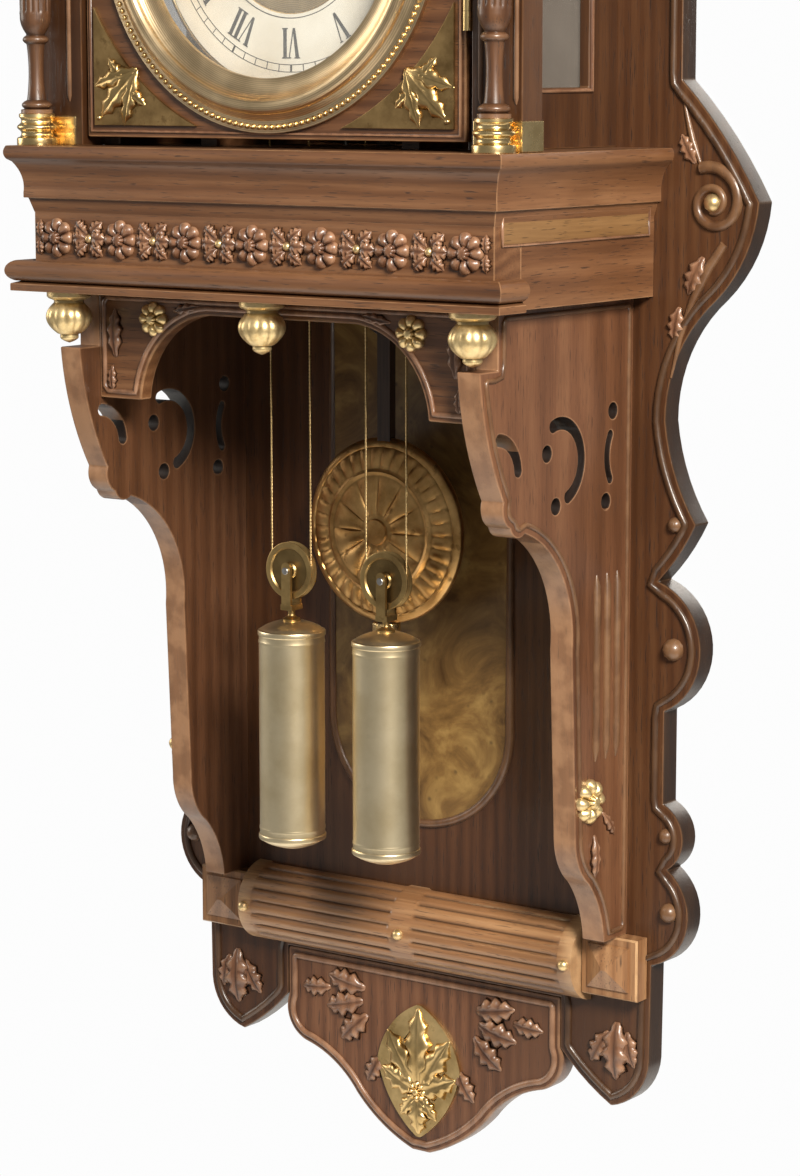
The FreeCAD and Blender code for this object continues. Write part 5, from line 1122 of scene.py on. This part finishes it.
# Bezel and glass: a spun brass ring with a row of cast studs round its outer step, let into the
# opening, and a round flat glass puttied behind it.
bezel_brass = spun("bezel_brass", (0.88, 0.68, 0.42), (0.6, 0.44, 0.25), 0.0, door_front, dial_z)
coat(bezel_brass, "bezel")
ring_r, ring_front, ring_studs = 136.0, -195.9, 168
ring = []
for step in range(ring_studs):
    angle = 2.0 * math.pi * step / ring_studs
    ring.append((ring_r * math.cos(angle), ring_front, dial_z + ring_r * math.sin(angle), 2.1))
dress("bezel_pearls", studs, ring, cast_brass, "door", "brass")
coat(glass("door_glass_clear", (0.75, 0.77, 0.76), 0.1, 0.02), "door_glass")

# Knob and hinges: a turned brass knob on the left stile, and two brass butt hinges on the right, each
# leaf held by steel screws.
coat(bright_brass, "door_knob")
coat(plate_brass, "hinge_fixed_leaves", "hinge_door_leaves")
levels = (-238.0, -226.0, -214.0, -126.0, -114.0, -102.0)
case_leaf, door_leaf = 163.5, 159.5
fixed = [(case_leaf, -156.0 - 6 * (step % 2), z, 2.2, 40.0 * step, 90) for step, z in enumerate(levels)]
dress("hinge_screws_fixed", screws, fixed, plain_steel, "case", "steel")
moving = [(door_leaf, -180.0 - 5 * (step % 2), z, 2.0, 33.0 * step, 90) for step, z in enumerate(levels)]
dress("hinge_screws_door", screws, moving, plain_steel, "door", "steel")


# Weight lines: twisted brass wire. From each barrel it goes down, under the weight's pulley and up to a
# post in the plates. The straight runs shorten as a weight is wound up, the bend stays on the pulley,
# and three turns lie on each half of the barrel.
def twisted(path, half, turn_length):
    """Two wires laid round each other along a path of x, y, z points in mm."""
    lines = [[], []]
    gone, last = 0.0, path[0]
    for index, spot in enumerate(path):
        ahead = Vector(path[min(index + 1, len(path) - 1)]) - Vector(path[max(index - 1, 0)])
        gone += (Vector(spot) - Vector(last)).length
        last = spot
        side = Vector((0.0, 1.0, 0.0))
        other = ahead.normalized().cross(side)
        for strand, line in enumerate(lines):
            angle = 2.0 * math.pi * gone / turn_length + math.pi * strand
            place = Vector(spot) + (side * math.cos(angle) + other * math.sin(angle)) * half
            line.append((*place, half))
    return lines


line_brass = brass("line_brass", (0.62, 0.45, 0.22), (0.36, 0.25, 0.11), 0.3, 0.8)
line_y, line_top, line_foot, wire, pitch = -117.0, arbor_z, -615.0, 0.42, 5.0
weight_x, pulley_reach = 41.0, 17.0
coil_r, coil_wire, coil_gap, coil_pitch, coil_turns = 11.9, 0.85, 1.9, 1.8, 3
run_steps, bend_steps, turn_steps = int((line_top - line_foot) / pitch * 6), 64, 48
for word, way in (("time", 1), ("strike", -1)):
    lines = []
    for x in ((weight_x - pulley_reach) * way, (weight_x + pulley_reach) * way):
        path = [(x, line_y, line_foot + (line_top - line_foot) * step / run_steps) for step in range(run_steps + 1)]
        lines += twisted(path, wire, pitch)
    runs = trim(word + "_line_runs", lines, line_brass, "case", "line", word + "_line", sides=6)
    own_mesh(runs)
    bend = []
    for step in range(bend_steps + 1):
        angle = math.pi * step / bend_steps
        bend.append((weight_x * way - pulley_reach * math.cos(angle), line_y,
                     line_foot - pulley_reach * math.sin(angle)))
    trim(word + "_line_bend", twisted(bend, wire, pitch), line_brass, word + "_weight", "line", sides=6)
    coils = []
    for side in (-1, 1):
        coil = []
        for step in range(coil_turns * turn_steps + 1):
            angle = 2.0 * math.pi * step / turn_steps
            coil.append((arbor_x * way + coil_r * math.cos(angle),
                         line_y + side * (coil_gap + coil_pitch * step / turn_steps),
                         line_top + coil_r * math.sin(angle), coil_wire))
        coils.append(coil)
    trim(word + "_line_coil", coils, line_brass, word + "_barrel", "line", sides=8)

# Weights: brass shells filled with lead, turned with fine rings at top and foot. Each hangs from a
# stirrup of brass strap on a turned stem, with a grooved brass pulley on a steel pin between the straps.
weight_brass = brass("weight_brass", (0.88, 0.74, 0.49), (0.78, 0.63, 0.38), 0.32, 0.1, 0.05)
dull_brass = brass("dull_brass", (0.5, 0.34, 0.14), (0.27, 0.17, 0.065), 0.26, 0.8)
weight_top, weight_tall, yoke_foot, yoke_top = -651.0, 162.0, -643, -639
shell = [(0.2, 0), (9.6, 0), (10.4, -0.3)] + swell((10.4, -0.3), (22.4, -6), 1.9)
shell += [(23.6, -6.2), (24, -6.8), (24, -9.2), (23.6, -9.8), (23.2, -10), (23.2, -13), (23.5, -13.5), (23.5, -15),
          (23.2, -15.5), (23.2, -50), (23.3, -weight_tall / 2)]
shell += [(radius, -weight_tall - height) for radius, height in reversed(shell[:-1])]
pulley = [(1.6, -3.5), (5, -3.5), (5.4, -2.9), (6, -2.2), (15, -2.2), (15.6, -2.9), (16, -3.5), (19.4, -3.5),
          (20, -3.1), (20, -2.4)]
pulley += swell((20, -2.4), (20, 2.4), -3.9, 10) + [(radius, -height) for radius, height in reversed(pulley)]
pulley.append(pulley[0])
stem = [(0.2, -0.4), (6.4, -0.4), (6.4, 1.4), (5.8, 2)] + swell((5.8, 2), (2.5, 5), -0.9) + [(2.5, 8.4), (0.2, 8.4)]
axle = [(0.2, -6.4), (1.5, -6.4), (1.5, 6.4), (0.2, 6.4)]
yoke_half, yoke_deep, strap_half, strap_thick, strap_round = 5, 6.5, 4, 2.0, -613
for word, way in (("time", 1), ("strike", -1)):
    x = weight_x * way
    strap = [(x - strap_half, yoke_foot), (x + strap_half, yoke_foot)]
    for step in range(13):
        angle = math.pi * step / 12
        strap.append((x + strap_half * math.cos(angle), strap_round + strap_half * math.sin(angle)))
    stirrup = put_together(
        "stirrup", plate(strap, line_y - yoke_deep, line_y - yoke_deep + strap_thick),
        plate(strap, line_y + yoke_deep - strap_thick, line_y + yoke_deep),
        slabs([(x - yoke_half, line_y - yoke_deep, yoke_foot, x + yoke_half, line_y + yoke_deep, yoke_top)], 0.5),
        lathe(stem, x, line_y, weight_top), lathe(axle, x, line_y, line_foot, axis="Y"))
    fit(word + "_weight_shell", lathe(shell, x, line_y, weight_top, steps=72), weight_brass, word + "_weight", "brass",
        word + "_weight")
    fit(word + "_weight_stirrup", stirrup, dull_brass, word + "_weight", "brass")
    fit(word + "_pulley_grooved", lathe(pulley, x, line_y, line_foot, axis="Y", steps=64), dull_brass, word + "_pulley",
        "brass", word + "_pulley")
    pins = [(x, line_y - yoke_deep, line_foot, 2.6, 30.0), (x, line_y + yoke_deep, line_foot, 2.6, 30.0, 180)]
    dress(word + "_pulley_pins", screws, pins, plain_steel, word + "_weight", "steel")


# Pendulum: a dark stained rod hung from a steel spring, and a large bob of embossed sheet brass that
# slides on it and rests on a knurled brass nut.
def dark_wood(name, tone):
    """Ebonised wood: nearly black stain with the grain just showing through."""
    material, tree, shade, here = blank(name)
    drawn = lay(tree, "Mapping", Vector=here, Scale=(1.0, 1.0, 0.03))
    grain = lay(tree, "TexNoise", Vector=drawn, Scale=600.0, Detail=4.0)
    colour = tones(tree, grain, (0.35, tone), (0.7, toned(tone, 2.6)))
    surface(tree, shade, colour, scaled(tree, grain, 0.25, 0.22), grain, 0.2, 0.0002)
    return material


rod_stain = dark_wood("rod_stain", (0.02, 0.011, 0.007))
fit("pendulum_rod_stained", worked("pendulum_rod", 0.8), rod_stain, "pendulum", "dark_wood", "pendulum_rod")
bob_y, bob_z, bob_r, bob_half, bob_edge, bob_steps = -60.0, -590.0, 66.0, 14.0, 1.5, 216


def bob_rise(reach, angle):
    """How far the embossed face stands from the bob's middle plane."""
    if reach >= bob_r:
        return bob_edge
    lens = bob_edge + (bob_half - bob_edge) * math.sqrt(1.0 - (reach / bob_r) ** 2) ** 1.3
    if reach < 9:
        sunk = 0.0
    elif reach < 12:
        sunk = 1.6
    elif reach < 40:
        petal = abs(math.sin(6.0 * angle)) ** 0.6 * math.sin(math.pi * (reach - 12) / 28) ** 0.5
        sunk = 2.2 - 2.0 * petal
    elif reach < 45:
        sunk = 1.8 - 1.5 * math.sin(math.pi * (reach - 40) / 5)
    elif reach < 60:
        sunk = 1.7 - 1.4 * abs(math.sin(18.0 * angle)) ** 0.7 * math.sin(math.pi * (reach - 45) / 15) ** 0.4
    else:
        sunk = 0.5 - 0.36 * max(0.0, 1.0 - ((reach - 63) / 3) ** 2)
    return max(1.0, lens - sunk)


reaches = [1.0, 3, 5, 7, 8.6, 9.4, 11.5, 12.5] + [14 + 2.2 * step for step in range(12)]
reaches += [39.5, 40.5, 42.5, 44.5, 45.5] + [47 + 1.6 * step for step in range(8)]
reaches += [59.6, 60.4, 62, 63.5, 65, bob_r]
work = bmesh.new()
rows = []
for way, spread in ((-1, reaches), (1, reversed(reaches))):
    for reach in spread:
        row = []
        for step in range(bob_steps):
            angle = 2.0 * math.pi * step / bob_steps
            row.append(work.verts.new((reach * math.cos(angle) * MM, (bob_y + way * bob_rise(reach, angle)) * MM,
                                       (bob_z + reach * math.sin(angle)) * MM)))
        rows.append(row)
hoops(work, rows, ends=True)
bob_brass = brass("bob_brass", (0.68, 0.41, 0.16), (0.37, 0.2, 0.065), 0.26, 0.9)
fit("pendulum_bob_embossed", closed(work, "bob", 50.0), bob_brass, "pendulum", "brass", "pendulum_bob")


def knurl(height, angle):
    """Thirty notches round the nut, clear of its edges."""
    return -0.35 if math.cos(30 * angle) > 0 and -8.5 < height < -0.5 else 0.0


nut = [(2.6, 0), (9.2, 0), (10, -0.8), (10, -8.2), (9.2, -9), (2.6, -9), (2.6, 0)]
fit("rating_nut_knurled", lathe(nut, 0, bob_y, -656.0, steps=120, wave=knurl), bright_brass, "pendulum", "brass",
    "rating_nut")

# Gong and hammer: a coil of hardened steel wire screwed to an iron block on the backboard, struck by a
# round hammer head on a wire arm.
gong_steel = steel("gong_steel", (0.2, 0.19, 0.2), (0.06, 0.06, 0.075), 0.24)
coat(gong_steel, "strike_gong")
coat(plain_steel, "strike_hammer")

# Studio: a round pale floor well below the hanging clock, a white surround that lights it weakly from
# all sides, a key light from the front right and above, a weak fill from the left and one from behind.
floor_r, floor_z, floor_steps = 1.5, -1.6, 96
spots = []
for step in range(floor_steps):
    angle = 2.0 * math.pi * step / floor_steps
    spots.append((floor_r * math.cos(angle), floor_r * math.sin(angle), floor_z))
floor_mesh = bpy.data.meshes.new("floor")
floor_mesh.from_pydata(spots, [], [tuple(range(floor_steps))])
pale, tree, shade, here = blank("pale_floor")
speck = lay(tree, "TexNoise", Vector=here, Scale=3.0)
tree.links.new(tones(tree, speck, (0.3, (0.86, 0.86, 0.86)), (0.7, (0.9, 0.9, 0.9))), shade.inputs["Base Color"])
shade.inputs["Roughness"].default_value = 0.9
floor_mesh.materials.append(pale)
floor = bpy.data.objects.new("floor", floor_mesh)
bpy.context.scene.collection.objects.link(floor)

world = bpy.data.worlds.new("studio")
world.use_nodes = True
tree = world.node_tree
surround = tree.nodes["Background"]
surround.inputs["Color"].default_value = (1.0, 0.985, 0.95, 1.0)
surround.inputs["Strength"].default_value = 0.23
backdrop = tree.nodes.new("ShaderNodeBackground")
backdrop.inputs["Color"].default_value = (0.98, 0.98, 0.98, 1.0)
seen = tree.nodes.new("ShaderNodeLightPath")
choice = tree.nodes.new("ShaderNodeMixShader")
feed(tree, choice.inputs, (seen.outputs["Is Camera Ray"], surround.outputs[0], backdrop.outputs[0]))
tree.links.new(choice.outputs[0], tree.nodes["World Output"].inputs["Surface"])
bpy.context.scene.world = world


def towards(across, rise):
    """The direction from the clock at an angle round it from its front and an angle above, in degrees."""
    turn, lift = math.radians(across), math.radians(rise)
    return Vector((math.sin(turn) * math.cos(lift), -math.cos(turn) * math.cos(lift), math.sin(lift)))


def stand(name, held, aim, back, far):
    """Set up a lamp or a camera that looks at a point from a direction and a distance in metres."""
    tripod = bpy.data.objects.new(name, held)
    tripod.location = aim + back * far
    tripod.rotation_euler = back.to_track_quat("Z", "Y").to_euler()
    bpy.context.scene.collection.objects.link(tripod)
    return tripod


for name, across, rise, far, size, power in (("key", 54, 29, 3.2, 0.9, 212), ("fill", -72, 14, 3.5, 2.0, 40),
                                             ("rear", 180, 20, 3.2, 2.0, 45)):
    lamp = bpy.data.lights.new(name, "AREA")
    lamp.shape = "DISK"
    lamp.size = size
    lamp.energy = power
    lamp.color = (1.0, 0.95, 0.87)
    stand(name, lamp, Vector((0.0, -0.1, -0.55)), towards(across, rise), far)
bpy.context.scene.view_settings.view_transform = "Standard"
photo_tall, focal_pixels = 1176.0, 3318.0
camera = bpy.data.cameras.new("camera")
camera.sensor_width = 36.0
camera.lens = focal_pixels / photo_tall * camera.sensor_width
bpy.context.scene.camera = stand("camera", camera, Vector((0.0413, -0.101, -0.6223)), towards(35.7, 8.9), 2.293)
